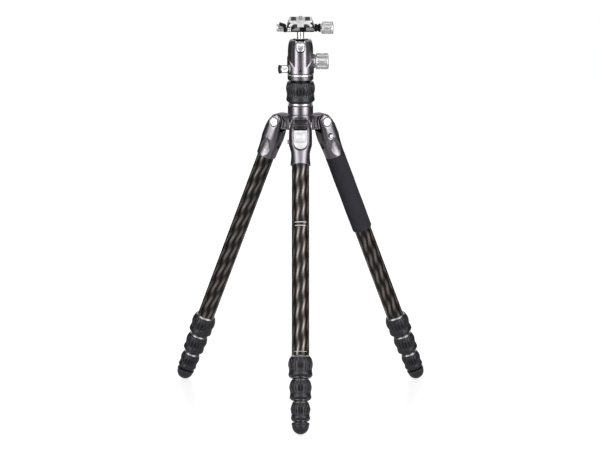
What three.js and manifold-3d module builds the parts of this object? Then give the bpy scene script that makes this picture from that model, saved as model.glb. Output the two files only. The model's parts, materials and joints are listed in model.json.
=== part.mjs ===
// Four-section travel tripod with a ball head and a quick-release plate.
// Millimetres, +Z up. The origin is on the ground, under the middle of the object's box.
// The rear of the object is +Y, and the front leg points to -Y.
import * as THREE from "three";
import { mergeVertices } from "three/addons/utils/BufferGeometryUtils.js";
import Module from "manifold-3d";

const wasm = await Module();
wasm.setup();

// ------------------------------------------------------------------ driving sizes
const GAP = 0.3; // running clearance between neighbours

// leg angles, in degrees from the vertical
const SPREAD = 22.57; // first stop, at which the tripod stands
const WIDER_STOPS = [52, 84]; // the two low-angle stops
const HINGE_RADIUS = 40.6; // column axis to leg hinge

// leg tubes and twist locks
const TUBE_OD = 28; // first and largest tube
const TUBE_WALL = 1.2;
const TUBE_EXPOSED = 310; // first tube, from casting to lock
const TUBE_TOP_STEP = 6; // each tube's top lies this much below the one round it
const LOCK_LENGTHS = [35.3, 33.9, 31.3]; // flange and grip together
const LOCK_PROUD = [5.75, 5.45, 4.85]; // crest of each grip over its tube
const LOCK_SPACING = 2; // bright ring of the next section between two locks
const LOCK_LIP = 3.5; // bottom of the grip, which closes on the next tube
const FLANGE_HEIGHT = 3;
const FLANGE_PROUD = 2.6;
const FERRULE_WALL = 1.4;
const GRIP_RIBS = 10;
const COLUMN_GRIP_RIBS = 13;
const GRIP_RIB_DEPTH = 0.8;

// feet
const FOOT_RADIUS = 13.5;
const FOOT_RIM_RADIUS = 14.4;
const FOOT_RIM_HEIGHT = 5.3;
const FOOT_SPIGOT = 24;

// leg casting
const CASTING_LENGTH = 64; // hinge to the mouth of the socket
const SOCKET_DEPTH = 20;
const SOCKET_WALL = 1.8;
const CHEEK_HALF = 18.8; // half width over both cheeks
const KNUCKLE_RADIUS = 12.3;
const CASTING_DEPTH = 16.6; // half depth at the belly
const FORK_SLOT = 22.4;
const LEAF_LENGTH = 31; // hollow in each side of the casting
const LEAF_WIDTH = 17;
const LEAF_END = 3; // casting's mouth to the leaf's lower tip

// hinge pin
const PIN_RADIUS = 4;
const PIN_HEAD_RADIUS = 7.75;
const PIN_HEAD_DEPTH = 2.9;
const PIN_LENGTH = 36.8;

// angle tab, a pawl that rocks on its own pin
const TAB_TOP = 9.6; // below the hinge
const TAB_LENGTH = 30.6;
const TAB_WIDTH = 21;
const TAB_THICKNESS = 3;
const TAB_FACE = 15.9; // leg axis to the tab's outer face
const TAB_CREASE = 19.2; // below the tab's top
const TAB_PIVOT_DEPTH = 24.3; // below the hinge
const TAB_PIVOT_INSET = 3.75; // inward of the leg axis
const TAB_HUB_RADIUS = 4.2;
const TAB_HUB_WIDTH = 16;
const TAB_SWING = 5; // degrees
const TAB_TOOTH_ANGLE = 50; // below the leg's outer side, round the hinge, in degrees
const TAB_PIN_RADIUS = 2;
const TAB_PIN_HEAD_RADIUS = 3.65;
const TAB_PIN_PROUD = 2.7;

// foam grip on one leg
const FOAM_WALL = 2.5; // over the tube, squeezed on it
const FOAM_LENGTH = 139;

// spider, the crown that carries the three legs
const LUG_WIDTH = 20;
const LUG_RADIUS = 12.2;
const NOTCH_WIDTH = 3.4;
const NOTCH_DEPTH = 1.6;
const HUB_RADIUS = 19.3;
const BAND_RADIUS = 21.4;
const BAND_BOTTOM = 7; // above the hinges
const COLLAR_RADIUS = 20.7;
const COLLAR_BOTTOM = 14.8;
const COLLAR_TOP = 29.5;
const NECK_RADIUS = 17.6;
const NECK_LENGTH = 28;

// centre column and its lock
const COLUMN_OD = 28;
const COLUMN_WALL = 1.5;
const COLUMN_LENGTH = 300;
const LOCK_RING_RADIUS = 19.6;
const LOCK_RING_HEIGHT = 3.1;
const LOCK_RING_LIFT = 0.8;
const COLUMN_GRIP_LENGTH = 33.7;
const COLUMN_GRIP_RADIUS = 23.75;
const TOP_PLATE_RADIUS = 16.2;
const TOP_PLATE_HEIGHT = 2.2;
const STUD_RADIUS = 4.76; // 3/8 inch thread
const STUD_LENGTH = 10;
const PLUG_LENGTH = 12;
const END_CAP_HEIGHT = 6;
const HOOK_WIRE = 1.7; // wire radius
const HOOK_RADIUS = 8.5;
const HOOK_LUG_WIDTH = 12;
const HOOK_LUG_DROP = 9;

// ball head
const BASE_RADIUS = 22.1;
const BASE_HEIGHT = 10.7;
const SPINDLE_RADIUS = 12;
const SPINDLE_LENGTH = 13;
const HOUSING_RADIUS = 21.9;
const HOUSING_HEIGHT = 55;
const HOUSING_MOUTH = 18; // radius of the housing's top edge
const BALL_RADIUS = 15;
const BALL_DROP = 11.6; // ball centre below the housing's top
const BALL_GRIP = 7; // the socket holds the ball this far above its centre
const NOTCH_HALF = 7; // half width of the drop notch
const STEM_RADIUS = 5.9;
const STEM_TOP = 27.6; // above the ball centre
const STEM_SPIGOT_RADIUS = 4;
const STEM_SPIGOT_LENGTH = 4.8;
const CUP_HEIGHT = 8;
const CUP_DROP = 14.8; // cup's foot below the ball centre
const PLUNGER_RADIUS = 5.6;
const MAIN_SHAFT_DROP = 23.4; // shaft axis below the ball centre
const MAIN_SHAFT_RADIUS = 4.6;
const MAIN_BOSS_RADIUS = 11;
const MAIN_BOSS_END = 24.3; // from the head's axis
const MAIN_KNOB_RADIUS = 13.25;
const MAIN_KNOB_LENGTH = 21.1;
const MAIN_KNOB_FLUTES = 14;
const PAN_KNOB_HEIGHT = 8; // above the housing's foot
const PAN_KNOB_TURN = 15; // degrees forward of the side
const PAN_SHAFT_RADIUS = 2.8;
const PAN_KNOB_RADIUS = 6.25;
const PAN_KNOB_END = 36.3;
const PAN_CAP_RADIUS = 7.25;
const PAN_CAP_LENGTH = 3;

// dovetail clamp
const CLAMP_LENGTH = 50;
const CLAMP_HALF = 22.3; // half width across the jaws
const CLAMP_HEIGHT = 15.4;
const CLAMP_FLOOR = 7.6;
const JAW_SPLIT = 14; // clamp axis to the sliding jaw
const JAW_TOP_HALF = 18.8;
const SCREW_HEIGHT = 3.6; // screw axis above the clamp's underside
const SCREW_RADIUS = 2.2;
const CLAMP_COLLAR_LENGTH = 10.3;
const CLAMP_COLLAR_RADIUS = 7.2;
const CLAMP_KNOB_RADIUS = 10;
const CLAMP_KNOB_LENGTH = 19.8;
const CLAMP_KNOB_FLUTES = 12;
const CLAMP_PAN_KNOB_RADIUS = 6.25;
const CLAMP_PAN_KNOB_LENGTH = 13.9;
const CLAMP_PAN_KNOB_START = 25;
const LEVER_WIDTH = 8;
const LEVER_SETBACK = 8; // clamp's front face to the lever's middle
const LEVER_PIVOT_OUT = 2.6; // from the clamp's side
const LEVER_PIVOT_HEIGHT = 1.8; // above the clamp's underside
const LEVER_PIN_RADIUS = 1.3;
const EAR_THICKNESS = 2.5;
const LEVEL_SIZE = 5.6;
const LEVEL_DEPTH = 5;

// quick-release plate
const PLATE_LENGTH = 52;
const DOVETAIL_HALF = 19; // half width of the dovetail's flange
const DOVETAIL_NECK = 16;
const PLATE_TOP_HALF = 18.4;
const PLATE_HEIGHT = 10.4;
const PAD_WIDTH = 7.5;
const PAD_OFFSET = 11.3;
const PAD_PROUD = 0.5;
const POCKET_INNER = 5.4; // plate's middle to the pocket in each corner of its underside
const POCKET_OUTER = 14.8;
const POCKET_HEIGHT = 5;
const POCKET_LENGTH = 13;
const CAMERA_SCREW_RADIUS = 3.1; // 1/4 inch thread
const CAMERA_SCREW_PROUD = 4.8;
const CAMERA_SCREW_HEAD = 7;
const CAMERA_SCREW_HEAD_HEIGHT = 3;

// facets round each kind of piece
const TUBE_SIDES = 12;
const ROUND_SIDES = 20;
const SMALL_SIDES = 10;
const PIN_SIDES = 8;
const ARC_SEGMENTS = 6; // in a half circle of an outline

// ------------------------------------------------------------------ materials
const finish = (color, roughness, metalness) =>
  new THREE.MeshStandardMaterial({ color, roughness, metalness });
const GUNMETAL = finish(0x6b6870, 0.35, 0.85);
const SILVER = finish(0xd6d6d8, 0.25, 0.95);
const CARBON = finish(0x1c1a1a, 0.25, 0.1);
const RUBBER = finish(0x232326, 0.75, 0);
const FOAM = finish(0x29292d, 0.95, 0);
const BLACK = finish(0x17171a, 0.45, 0.4);
const VIAL = finish(0xd9e6a0, 0.1, 0);

// ------------------------------------------------------------------ making solids
const rad = THREE.MathUtils.degToRad;
const X = new THREE.Vector3(1, 0, 0);
const Y = new THREE.Vector3(0, 1, 0);
const Z = new THREE.Vector3(0, 0, 1);

// A three.js geometry as a solid that can be joined and cut.
function solid(geometry) {
  geometry.deleteAttribute("normal");
  geometry.deleteAttribute("uv");
  const merged = mergeVertices(geometry, 1e-4);
  const corners = merged.index.array;
  const faces = [];
  for (let i = 0; i < corners.length; i += 3) {
    const [a, b, c] = corners.slice(i, i + 3);
    if (a !== b && b !== c && c !== a) {
      faces.push(a, b, c);
    }
  }
  return new wasm.Manifold(
    new wasm.Mesh({
      numProp: 3,
      vertProperties: Float32Array.from(merged.attributes.position.array),
      triVerts: Uint32Array.from(faces),
    }),
  );
}

// A solid of revolution about Z. A profile point is [radius, height, flute], and the flute
// draws that point in on every second side. The profile ends on the axis or closes on itself.
function turned(profile, sides = ROUND_SIDES) {
  const rows = profile.map(([radius, height, flute = 0]) => ({ radius, height, flute }));
  if (rows[0].radius > 0) {
    rows.push(rows[0]);
  }
  const points = rows.map((row) => new THREE.Vector2(row.radius, row.height));
  if (THREE.ShapeUtils.area(points) < 0) {
    rows.reverse();
    points.reverse();
  }
  const geometry = new THREE.LatheGeometry(points, sides);
  const position = geometry.attributes.position;
  for (let i = 0; i < position.count; i += 1) {
    const { radius, flute } = rows[i % rows.length];
    const side = Math.floor(i / rows.length);
    if (flute > 0 && side % 2 === 1) {
      const scale = (radius - flute) / radius;
      position.setX(i, position.getX(i) * scale);
      position.setZ(i, position.getZ(i) * scale);
    }
  }
  geometry.rotateX(Math.PI / 2);
  return solid(geometry);
}

// The outline of straight lines through the given points.
const outline = (points) => new THREE.Shape(points.map(([u, v]) => new THREE.Vector2(u, v)));

// An outline pushed along an axis. Its plane is (y, z) along x, (x, z) along y, (x, y) along z.
function prism(shape, axis, from, to) {
  const geometry = new THREE.ExtrudeGeometry(shape, {
    depth: to - from,
    bevelEnabled: false,
    curveSegments: ARC_SEGMENTS,
  });
  const frame = new THREE.Matrix4();
  if (axis === "x") {
    frame.makeBasis(Y, Z, X).setPosition(from, 0, 0);
  } else if (axis === "y") {
    frame.makeBasis(X, Z, Y.clone().negate()).setPosition(0, to, 0);
  } else {
    frame.setPosition(0, 0, from);
  }
  return solid(geometry.applyMatrix4(frame));
}

// A round bar along an axis, through the point (u, v) of the plane across it.
function rod(axis, radius, from, to, [u, v] = [0, 0], sides = SMALL_SIDES) {
  const bar = turned([[0, from], [radius, from], [radius, to], [0, to]], sides);
  return lay(bar, axis).translate(axis === "x" ? [0, u, v] : axis === "y" ? [u, 0, v] : [u, v, 0]);
}

// Lays a solid that was made along Z along another axis, so that +Z turns to +X or +Y.
function lay(body, axis) {
  if (axis === "x") {
    return body.rotate([0, 90, 0]);
  }
  if (axis === "y") {
    return body.rotate([-90, 0, 0]);
  }
  return body;
}

const box = (x0, x1, y0, y1, z0, z1) =>
  solid(new THREE.BoxGeometry(x1 - x0, y1 - y0, z1 - z0)).translate([
    (x0 + x1) / 2,
    (y0 + y1) / 2,
    (z0 + z1) / 2,
  ]);

// A loft through superellipse rings. A station is [height, half x, half y, power].
function loft(stations, sides) {
  const positions = [];
  const faces = [];
  const rounded = (value, power) => Math.sign(value) * Math.abs(value) ** (2 / power);
  for (const [height, halfX, halfY, power] of stations) {
    for (let i = 0; i < sides; i += 1) {
      const angle = (2 * Math.PI * i) / sides;
      positions.push(halfX * rounded(Math.cos(angle), power));
      positions.push(halfY * rounded(Math.sin(angle), power));
      positions.push(height);
    }
  }
  const last = stations.length - 1;
  for (let level = 0; level < last; level += 1) {
    for (let i = 0; i < sides; i += 1) {
      const next = (i + 1) % sides;
      const [a, b] = [level * sides + i, level * sides + next];
      faces.push(a, b, b + sides, a, b + sides, a + sides);
    }
  }
  for (let i = 1; i < sides - 1; i += 1) {
    faces.push(0, i + 1, i);
    faces.push(last * sides, last * sides + i, last * sides + i + 1);
  }
  const geometry = new THREE.BufferGeometry();
  geometry.setAttribute("position", new THREE.Float32BufferAttribute(positions, 3));
  geometry.setIndex(faces);
  return solid(geometry);
}

// A finished solid as a named mesh.
function piece(name, body, material) {
  const { vertProperties, triVerts } = body.getMesh();
  const geometry = new THREE.BufferGeometry();
  geometry.setAttribute("position", new THREE.BufferAttribute(vertProperties, 3));
  geometry.setIndex(new THREE.BufferAttribute(triVerts, 1));
  geometry.computeVertexNormals();
  const mesh = new THREE.Mesh(geometry, material);
  mesh.name = name;
  return mesh;
}

// ------------------------------------------------------------------ leg layout
// Depths are measured down the leg from its hinge.
const tubeRadius = (k) => TUBE_OD / 2 - k * (TUBE_WALL + GAP);
const socketFloor = CASTING_LENGTH - SOCKET_DEPTH;
const lockTop = [];
let depth = CASTING_LENGTH + TUBE_EXPOSED;
for (const length of LOCK_LENGTHS) {
  lockTop.push(depth);
  depth += length + LOCK_SPACING;
}
const footTop = depth;
const footCentre = footTop + FOOT_RIM_HEIGHT;
const hingeHeight = footCentre * Math.cos(rad(SPREAD)) + FOOT_RADIUS;

// ------------------------------------------------------------------ leg pieces
// In a leg's own frame the hinge is at the origin, the hinge axis is X, the leg runs down -Z
// and -Y is its outer side.

// The fork slot, from the knuckle to below the angle tab, with room for the tab to rock. It is
// deep round the tab's hub and shallow below it, where the tube's socket begins.
function forkSlot() {
  const half = FORK_SLOT / 2;
  const drop = (TAB_FACE + TAB_PIVOT_INSET) * Math.sin(rad(TAB_SWING)) + 2 * GAP;
  const centre = -(TAB_TOP + TAB_LENGTH + drop - half);
  const high = KNUCKLE_RADIUS + 5;
  const back = TAB_PIVOT_INSET + TAB_HUB_RADIUS + 2 * GAP;
  const front = new THREE.Shape();
  front.moveTo(-half, high);
  front.lineTo(-half, centre);
  front.absarc(0, centre, half, Math.PI, 2 * Math.PI, false);
  front.lineTo(half, high);
  const behind = outline([
    [-1, high],
    [CASTING_DEPTH + 6, high],
    [CASTING_DEPTH + 6, -LUG_RADIUS - 2],
    [back + 1, -LUG_RADIUS - 2],
    [back - 0.2, -TAB_PIVOT_DEPTH - 3],
    [-1, -TAB_PIVOT_DEPTH - 3],
  ]);
  const shelfFace = -(TAB_FACE - TAB_THICKNESS - 2.4);
  const shelfTop = -TAB_PIVOT_DEPTH - 2.1 * TAB_HUB_RADIUS;
  const shelf = box(-half - 1, half + 1, shelfFace, back + 1, -CASTING_LENGTH, shelfTop);
  return prism(front, "y", -CASTING_DEPTH - 8, back)
    .subtract(shelf)
    .add(prism(behind, "x", -half, half));
}

// A shallow leaf-shaped hollow, whose floor keeps the round of the socket.
function leafHollow(sign) {
  const low = -CASTING_LENGTH + LEAF_END;
  const high = low + LEAF_LENGTH;
  const belly = low + LEAF_LENGTH * 0.4;
  const leaf = new THREE.Shape();
  leaf.moveTo(0, low);
  leaf.bezierCurveTo(LEAF_WIDTH * 0.5, low, LEAF_WIDTH * 0.6, belly, 0, high);
  leaf.bezierCurveTo(-LEAF_WIDTH * 0.6, belly, -LEAF_WIDTH * 0.5, low, 0, low);
  const floor = TUBE_OD / 2 + GAP + SOCKET_WALL * 0.6;
  const cutter = prism(leaf, "x", TUBE_OD / 4, CHEEK_HALF + 2);
  const hollow = cutter.subtract(rod("z", floor, low - 5, high + 5, [0, 0], TUBE_SIDES));
  return sign > 0 ? hollow : hollow.mirror([1, 0, 0]);
}

function castingSolid() {
  const mouth = TUBE_OD / 2 + GAP + SOCKET_WALL;
  const belly = -CASTING_LENGTH * 0.48;
  const shoulder = -socketFloor;
  const body = loft(
    [
      [-CASTING_LENGTH, mouth + 0.4, mouth + 0.4, 2],
      [-CASTING_LENGTH + 3, mouth + 0.4, mouth + 0.4, 2],
      [-CASTING_LENGTH + 3.4, mouth, mouth, 2],
      [shoulder - 2, mouth + 0.1, CASTING_DEPTH, 2.2],
      [belly - 4, mouth + 1.4, CASTING_DEPTH + 0.1, 2.5],
      [belly, CHEEK_HALF, CASTING_DEPTH - 0.3, 2.8],
      [-KNUCKLE_RADIUS, CHEEK_HALF, KNUCKLE_RADIUS + 1.8, 3],
      [0, CHEEK_HALF - 0.8, KNUCKLE_RADIUS + 0.2, 3.2],
      [KNUCKLE_RADIUS * 0.5, CHEEK_HALF - 2.4, KNUCKLE_RADIUS * 0.88, 3.6],
      [KNUCKLE_RADIUS * 0.85, CHEEK_HALF - 3.6, KNUCKLE_RADIUS * 0.53, 4],
      [KNUCKLE_RADIUS, CHEEK_HALF - 4.3, KNUCKLE_RADIUS * 0.15, 4],
    ],
    16,
  );
  const far = CHEEK_HALF + 5;
  const pivot = [TAB_PIVOT_INSET, -TAB_PIVOT_DEPTH];
  const headSeat = PIN_LENGTH / 2 - PIN_HEAD_DEPTH - GAP;
  const socket = rod("z", TUBE_OD / 2 + GAP, -CASTING_LENGTH - 2, -socketFloor, [0, 0], TUBE_SIDES);
  const relief = rod("y", 6.5, CASTING_DEPTH - 3.6, CASTING_DEPTH + 6, [0, -socketFloor + 6]);
  return body
    .subtract(forkSlot())
    .subtract(socket)
    .subtract(relief)
    .subtract(leafHollow(1))
    .subtract(leafHollow(-1))
    .subtract(rod("x", PIN_RADIUS + GAP, -far, far, [0, 0], TUBE_SIDES))
    .subtract(rod("x", PIN_HEAD_RADIUS + GAP, headSeat, far, [0, 0], TUBE_SIDES))
    .subtract(rod("x", PIN_HEAD_RADIUS + GAP, -far, -headSeat, [0, 0], TUBE_SIDES))
    .subtract(rod("x", TAB_PIN_RADIUS + GAP, -far, CHEEK_HALF - 1.5, pivot, PIN_SIDES))
    .subtract(rod("x", TAB_PIN_HEAD_RADIUS + 3 * GAP, -far, -CHEEK_HALF + 1, pivot, PIN_SIDES));
}

function hingePinSolid() {
  const end = PIN_LENGTH / 2;
  const head = end - PIN_HEAD_DEPTH;
  const pin = turned(
    [
      [0, -end],
      [PIN_HEAD_RADIUS, -end],
      [PIN_HEAD_RADIUS, -head],
      [PIN_RADIUS, -head],
      [PIN_RADIUS, head],
      [PIN_HEAD_RADIUS, head],
      [PIN_HEAD_RADIUS, end],
      [0, end],
    ],
    TUBE_SIDES,
  );
  return lay(pin, "x");
}

// The plate of the tab, with the web that carries its hub and its tooth. The tooth points at
// the notched rim of the spider's lug.
function tabSolid() {
  const half = TAB_WIDTH / 2;
  const low = -(TAB_TOP + TAB_LENGTH);
  const inner = TAB_FACE - TAB_THICKNESS;
  const plate = new THREE.Shape();
  plate.moveTo(-half, -TAB_TOP);
  plate.lineTo(-half, low + half);
  plate.absarc(0, low + half, half, Math.PI, 2 * Math.PI, false);
  plate.lineTo(half, -TAB_TOP);
  const web = new THREE.Shape();
  web.moveTo(-inner - 1, -TAB_TOP - 0.9);
  web.lineTo(-inner - 1, -TAB_PIVOT_DEPTH - 6);
  web.lineTo(TAB_PIVOT_INSET, -TAB_PIVOT_DEPTH - TAB_HUB_RADIUS);
  web.absarc(TAB_PIVOT_INSET, -TAB_PIVOT_DEPTH, TAB_HUB_RADIUS, -Math.PI / 2, Math.PI / 2, false);
  for (const [clear, turn] of [[3, 22.8], [2 * GAP, 5.8], [1.6, -4.1]]) {
    const reach = LUG_RADIUS + clear;
    const angle = rad(TAB_TOOTH_ANGLE + turn);
    web.lineTo(-reach * Math.cos(angle), -reach * Math.sin(angle));
  }
  const hub = TAB_HUB_WIDTH / 2;
  const crease = -(TAB_TOP + TAB_CREASE);
  const pivot = [TAB_PIVOT_INSET, -TAB_PIVOT_DEPTH];
  return prism(plate, "y", -TAB_FACE, -inner)
    .add(prism(web, "x", -hub, hub))
    .subtract(rod("x", TAB_PIN_RADIUS + GAP, -hub - 1, hub + 1, pivot, PIN_SIDES))
    .subtract(box(-half - 1, half + 1, -TAB_FACE - 1, -TAB_FACE + 0.6, crease, crease + 0.9))
    .subtract(box(-half + 3, half - 3, -TAB_FACE - 1, -TAB_FACE + 0.5, crease + 3, -TAB_TOP - 3));
}

function tabPinSolid() {
  const face = -CHEEK_HALF - TAB_PIN_PROUD;
  const pin = turned(
    [
      [0, face],
      [TAB_PIN_HEAD_RADIUS, face],
      [TAB_PIN_HEAD_RADIUS, -CHEEK_HALF + 0.7],
      [TAB_PIN_RADIUS, -CHEEK_HALF + 0.7],
      [TAB_PIN_RADIUS, CHEEK_HALF - 1.8],
      [0, CHEEK_HALF - 1.8],
    ],
    PIN_SIDES,
  );
  return lay(pin, "x").translate([0, TAB_PIVOT_INSET, -TAB_PIVOT_DEPTH]);
}

// Tube k, with the ferrule and flange of its lock on its lower end.
function tubeSolid(k) {
  const outer = tubeRadius(k);
  const bore = outer - TUBE_WALL;
  const top = -(socketFloor + GAP + k * TUBE_TOP_STEP);
  if (k === LOCK_LENGTHS.length) {
    const end = -footTop + GAP;
    return turned([[bore, end], [outer, end], [outer, top], [bore, top]], TUBE_SIDES);
  }
  const flange = -lockTop[k];
  const end = flange - LOCK_LENGTHS[k] + LOCK_LIP;
  return turned(
    [
      [bore, end],
      [outer + FERRULE_WALL, end],
      [outer + FERRULE_WALL, flange - FLANGE_HEIGHT],
      [outer + FLANGE_PROUD, flange - FLANGE_HEIGHT],
      [outer + FLANGE_PROUD - 0.5, flange],
      [outer, flange],
      [outer, top],
      [bore, top],
    ],
    TUBE_SIDES,
  );
}

// The ribbed rubber grip that screws on a ferrule and closes on the tube inside it. It stands
// on height 0, and its ribs fade down from the crest.
function gripSolid({ length, crest, foot, shank, lip, lipHeight, ribs }) {
  const ribbed = GRIP_RIB_DEPTH;
  return turned(
    [
      [lip, 0],
      [foot, 0],
      [crest - 0.65, length * 0.15],
      [crest - 1.5, length * 0.37],
      [crest, length * 0.7, ribbed],
      [Math.max(crest - 2.4, shank + 1), length, ribbed * 0.4],
      [shank, length],
      [shank, lipHeight],
      [lip, lipHeight],
    ],
    2 * ribs,
  );
}

function lockSolid(k) {
  const outer = tubeRadius(k);
  const length = LOCK_LENGTHS[k] - FLANGE_HEIGHT - GAP;
  const grip = gripSolid({
    length,
    crest: outer + LOCK_PROUD[k],
    foot: outer + 1.2,
    shank: outer + FERRULE_WALL + GAP,
    lip: tubeRadius(k + 1) + GAP,
    lipHeight: LOCK_LIP - GAP,
    ribs: GRIP_RIBS,
  });
  return grip.translate([0, 0, -lockTop[k] - LOCK_LENGTHS[k]]);
}

function footSolid() {
  const spigot = tubeRadius(LOCK_LENGTHS.length) - TUBE_WALL - GAP;
  const dome = [];
  for (let angle = 0; angle < 90; angle += SPREAD) {
    dome.push([FOOT_RADIUS * Math.sin(rad(angle)), -footCentre - FOOT_RADIUS * Math.cos(rad(angle))]);
  }
  return turned(
    [
      ...dome,
      [FOOT_RADIUS, -footCentre],
      [FOOT_RIM_RADIUS, -footCentre + 1],
      [FOOT_RIM_RADIUS, -footTop - 1.5],
      [FOOT_RIM_RADIUS - 2, -footTop],
      [spigot, -footTop],
      [spigot, -footTop + FOOT_SPIGOT],
      [0, -footTop + FOOT_SPIGOT],
    ],
    TUBE_SIDES,
  );
}

function foamSolid() {
  const top = -CASTING_LENGTH - 2 * GAP;
  const end = top - FOAM_LENGTH;
  const inner = TUBE_OD / 2 + GAP;
  const outer = TUBE_OD / 2 + FOAM_WALL;
  return turned(
    [
      [inner, end],
      [outer - 1, end],
      [outer, end + 1],
      [outer, top - 1],
      [outer - 1, top],
      [inner, top],
    ],
    TUBE_SIDES,
  );
}

function leg(letter, turn, hasFoam) {
  const group = new THREE.Group();
  group.add(piece(`casting_${letter}`, castingSolid(), GUNMETAL));
  group.add(piece(`hinge_pin_${letter}`, hingePinSolid(), SILVER));
  group.add(piece(`angle_tab_${letter}`, tabSolid(), SILVER));
  group.add(piece(`tab_pin_${letter}`, tabPinSolid(), SILVER));
  LOCK_LENGTHS.forEach((_, k) => {
    group.add(piece(`tube_${k + 1}_${letter}`, tubeSolid(k), CARBON));
    group.add(piece(`lock_${k + 1}_${letter}`, lockSolid(k), RUBBER));
  });
  const last = LOCK_LENGTHS.length;
  group.add(piece(`tube_${last + 1}_${letter}`, tubeSolid(last), CARBON));
  group.add(piece(`foot_${letter}`, footSolid(), RUBBER));
  if (hasFoam) {
    group.add(piece("foam_grip", foamSolid(), FOAM));
  }
  group.position.set(0, -HINGE_RADIUS, 0);
  group.rotation.x = -rad(SPREAD);
  const arm = new THREE.Group();
  arm.rotation.z = rad(turn);
  arm.add(group);
  return arm;
}

// ------------------------------------------------------------------ spider and column
// In this frame the column axis is Z and the hinges are at height 0.
const columnBore = COLUMN_OD / 2 + GAP;
const ringBottom = COLLAR_TOP + LOCK_RING_LIFT;
const gripBottom = ringBottom + LOCK_RING_HEIGHT + GAP;
const topPlateBottom = gripBottom + COLUMN_GRIP_LENGTH + GAP;
const baseBottom = topPlateBottom + TOP_PLATE_HEIGHT + GAP;
const housingBottom = baseBottom + BASE_HEIGHT + GAP;
const housingTop = housingBottom + HOUSING_HEIGHT;
const ballHeight = housingTop - BALL_DROP;

// One arm of the spider: a lug whose rim is notched where the angle tab stops the leg.
function spiderArm() {
  const side = new THREE.Shape();
  side.moveTo(-columnBore, -LUG_RADIUS);
  side.lineTo(-columnBore, LUG_RADIUS);
  side.lineTo(-HINGE_RADIUS, LUG_RADIUS);
  side.absarc(-HINGE_RADIUS, 0, LUG_RADIUS, Math.PI / 2, (3 * Math.PI) / 2, false);
  let lug = prism(side, "x", -LUG_WIDTH / 2, LUG_WIDTH / 2);
  for (const stop of [SPREAD, ...WIDER_STOPS]) {
    const notch = box(
      -LUG_WIDTH,
      LUG_WIDTH,
      -LUG_RADIUS - 3,
      -LUG_RADIUS + NOTCH_DEPTH,
      -NOTCH_WIDTH / 2,
      NOTCH_WIDTH / 2,
    );
    const rise = stop - TAB_TOOTH_ANGLE;
    lug = lug.subtract(notch.rotate([-rise, 0, 0]).translate([0, -HINGE_RADIUS, 0]));
  }
  return lug.subtract(rod("x", PIN_RADIUS + GAP, -LUG_WIDTH, LUG_WIDTH, [-HINGE_RADIUS, 0]));
}

function spiderSolid() {
  let body = turned([
    [0, -LUG_RADIUS],
    [HUB_RADIUS, -LUG_RADIUS],
    [HUB_RADIUS, BAND_BOTTOM - 1],
    [BAND_RADIUS, BAND_BOTTOM],
    [BAND_RADIUS, COLLAR_BOTTOM - 0.6],
    [COLLAR_RADIUS, COLLAR_BOTTOM],
    [COLLAR_RADIUS, COLLAR_TOP - 1],
    [COLLAR_RADIUS - 1, COLLAR_TOP],
    [NECK_RADIUS, COLLAR_TOP],
    [NECK_RADIUS, COLLAR_TOP + NECK_LENGTH],
    [0, COLLAR_TOP + NECK_LENGTH],
  ]);
  for (let i = 0; i < 3; i += 1) {
    body = body.add(spiderArm().rotate([0, 0, 120 * i]));
  }
  const high = COLLAR_TOP + NECK_LENGTH + 1;
  return body.subtract(rod("z", columnBore, -LUG_RADIUS - 1, high, [0, 0], ROUND_SIDES));
}

function lockRingSolid() {
  const inner = NECK_RADIUS + GAP;
  const top = ringBottom + LOCK_RING_HEIGHT;
  return turned([
    [inner, ringBottom - LOCK_RING_LIFT + GAP],
    [inner + 0.8, ringBottom - LOCK_RING_LIFT + GAP],
    [inner + 0.8, ringBottom],
    [LOCK_RING_RADIUS, ringBottom],
    [LOCK_RING_RADIUS, top],
    [inner, top],
  ]);
}

function columnGripSolid() {
  const grip = gripSolid({
    length: COLUMN_GRIP_LENGTH,
    crest: COLUMN_GRIP_RADIUS,
    foot: NECK_RADIUS + 1.5,
    shank: columnBore,
    lip: NECK_RADIUS + GAP,
    lipHeight: NECK_LENGTH - (gripBottom - COLLAR_TOP) + GAP,
    ribs: COLUMN_GRIP_RIBS,
  });
  return grip.translate([0, 0, gripBottom]);
}

function columnTubeSolid() {
  const top = topPlateBottom - GAP;
  const bottom = top - COLUMN_LENGTH;
  const outer = COLUMN_OD / 2;
  const inner = outer - COLUMN_WALL;
  return turned([[inner, bottom], [outer, bottom], [outer, top], [inner, top]], TUBE_SIDES);
}

function topPlateSolid() {
  const plug = COLUMN_OD / 2 - COLUMN_WALL - GAP;
  const top = topPlateBottom + TOP_PLATE_HEIGHT;
  return turned(
    [
      [0, topPlateBottom - PLUG_LENGTH],
      [plug, topPlateBottom - PLUG_LENGTH],
      [plug, topPlateBottom],
      [TOP_PLATE_RADIUS, topPlateBottom],
      [TOP_PLATE_RADIUS, top],
      [STUD_RADIUS, top],
      [STUD_RADIUS, top + STUD_LENGTH],
      [0, top + STUD_LENGTH],
    ],
    TUBE_SIDES,
  );
}

// The cap screwed into the column's lower end, with a lug that carries the hook.
const columnBottom = topPlateBottom - GAP - COLUMN_LENGTH;
const capBottom = columnBottom - GAP - END_CAP_HEIGHT;
const hookPivot = capBottom - HOOK_LUG_DROP / 2;

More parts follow.
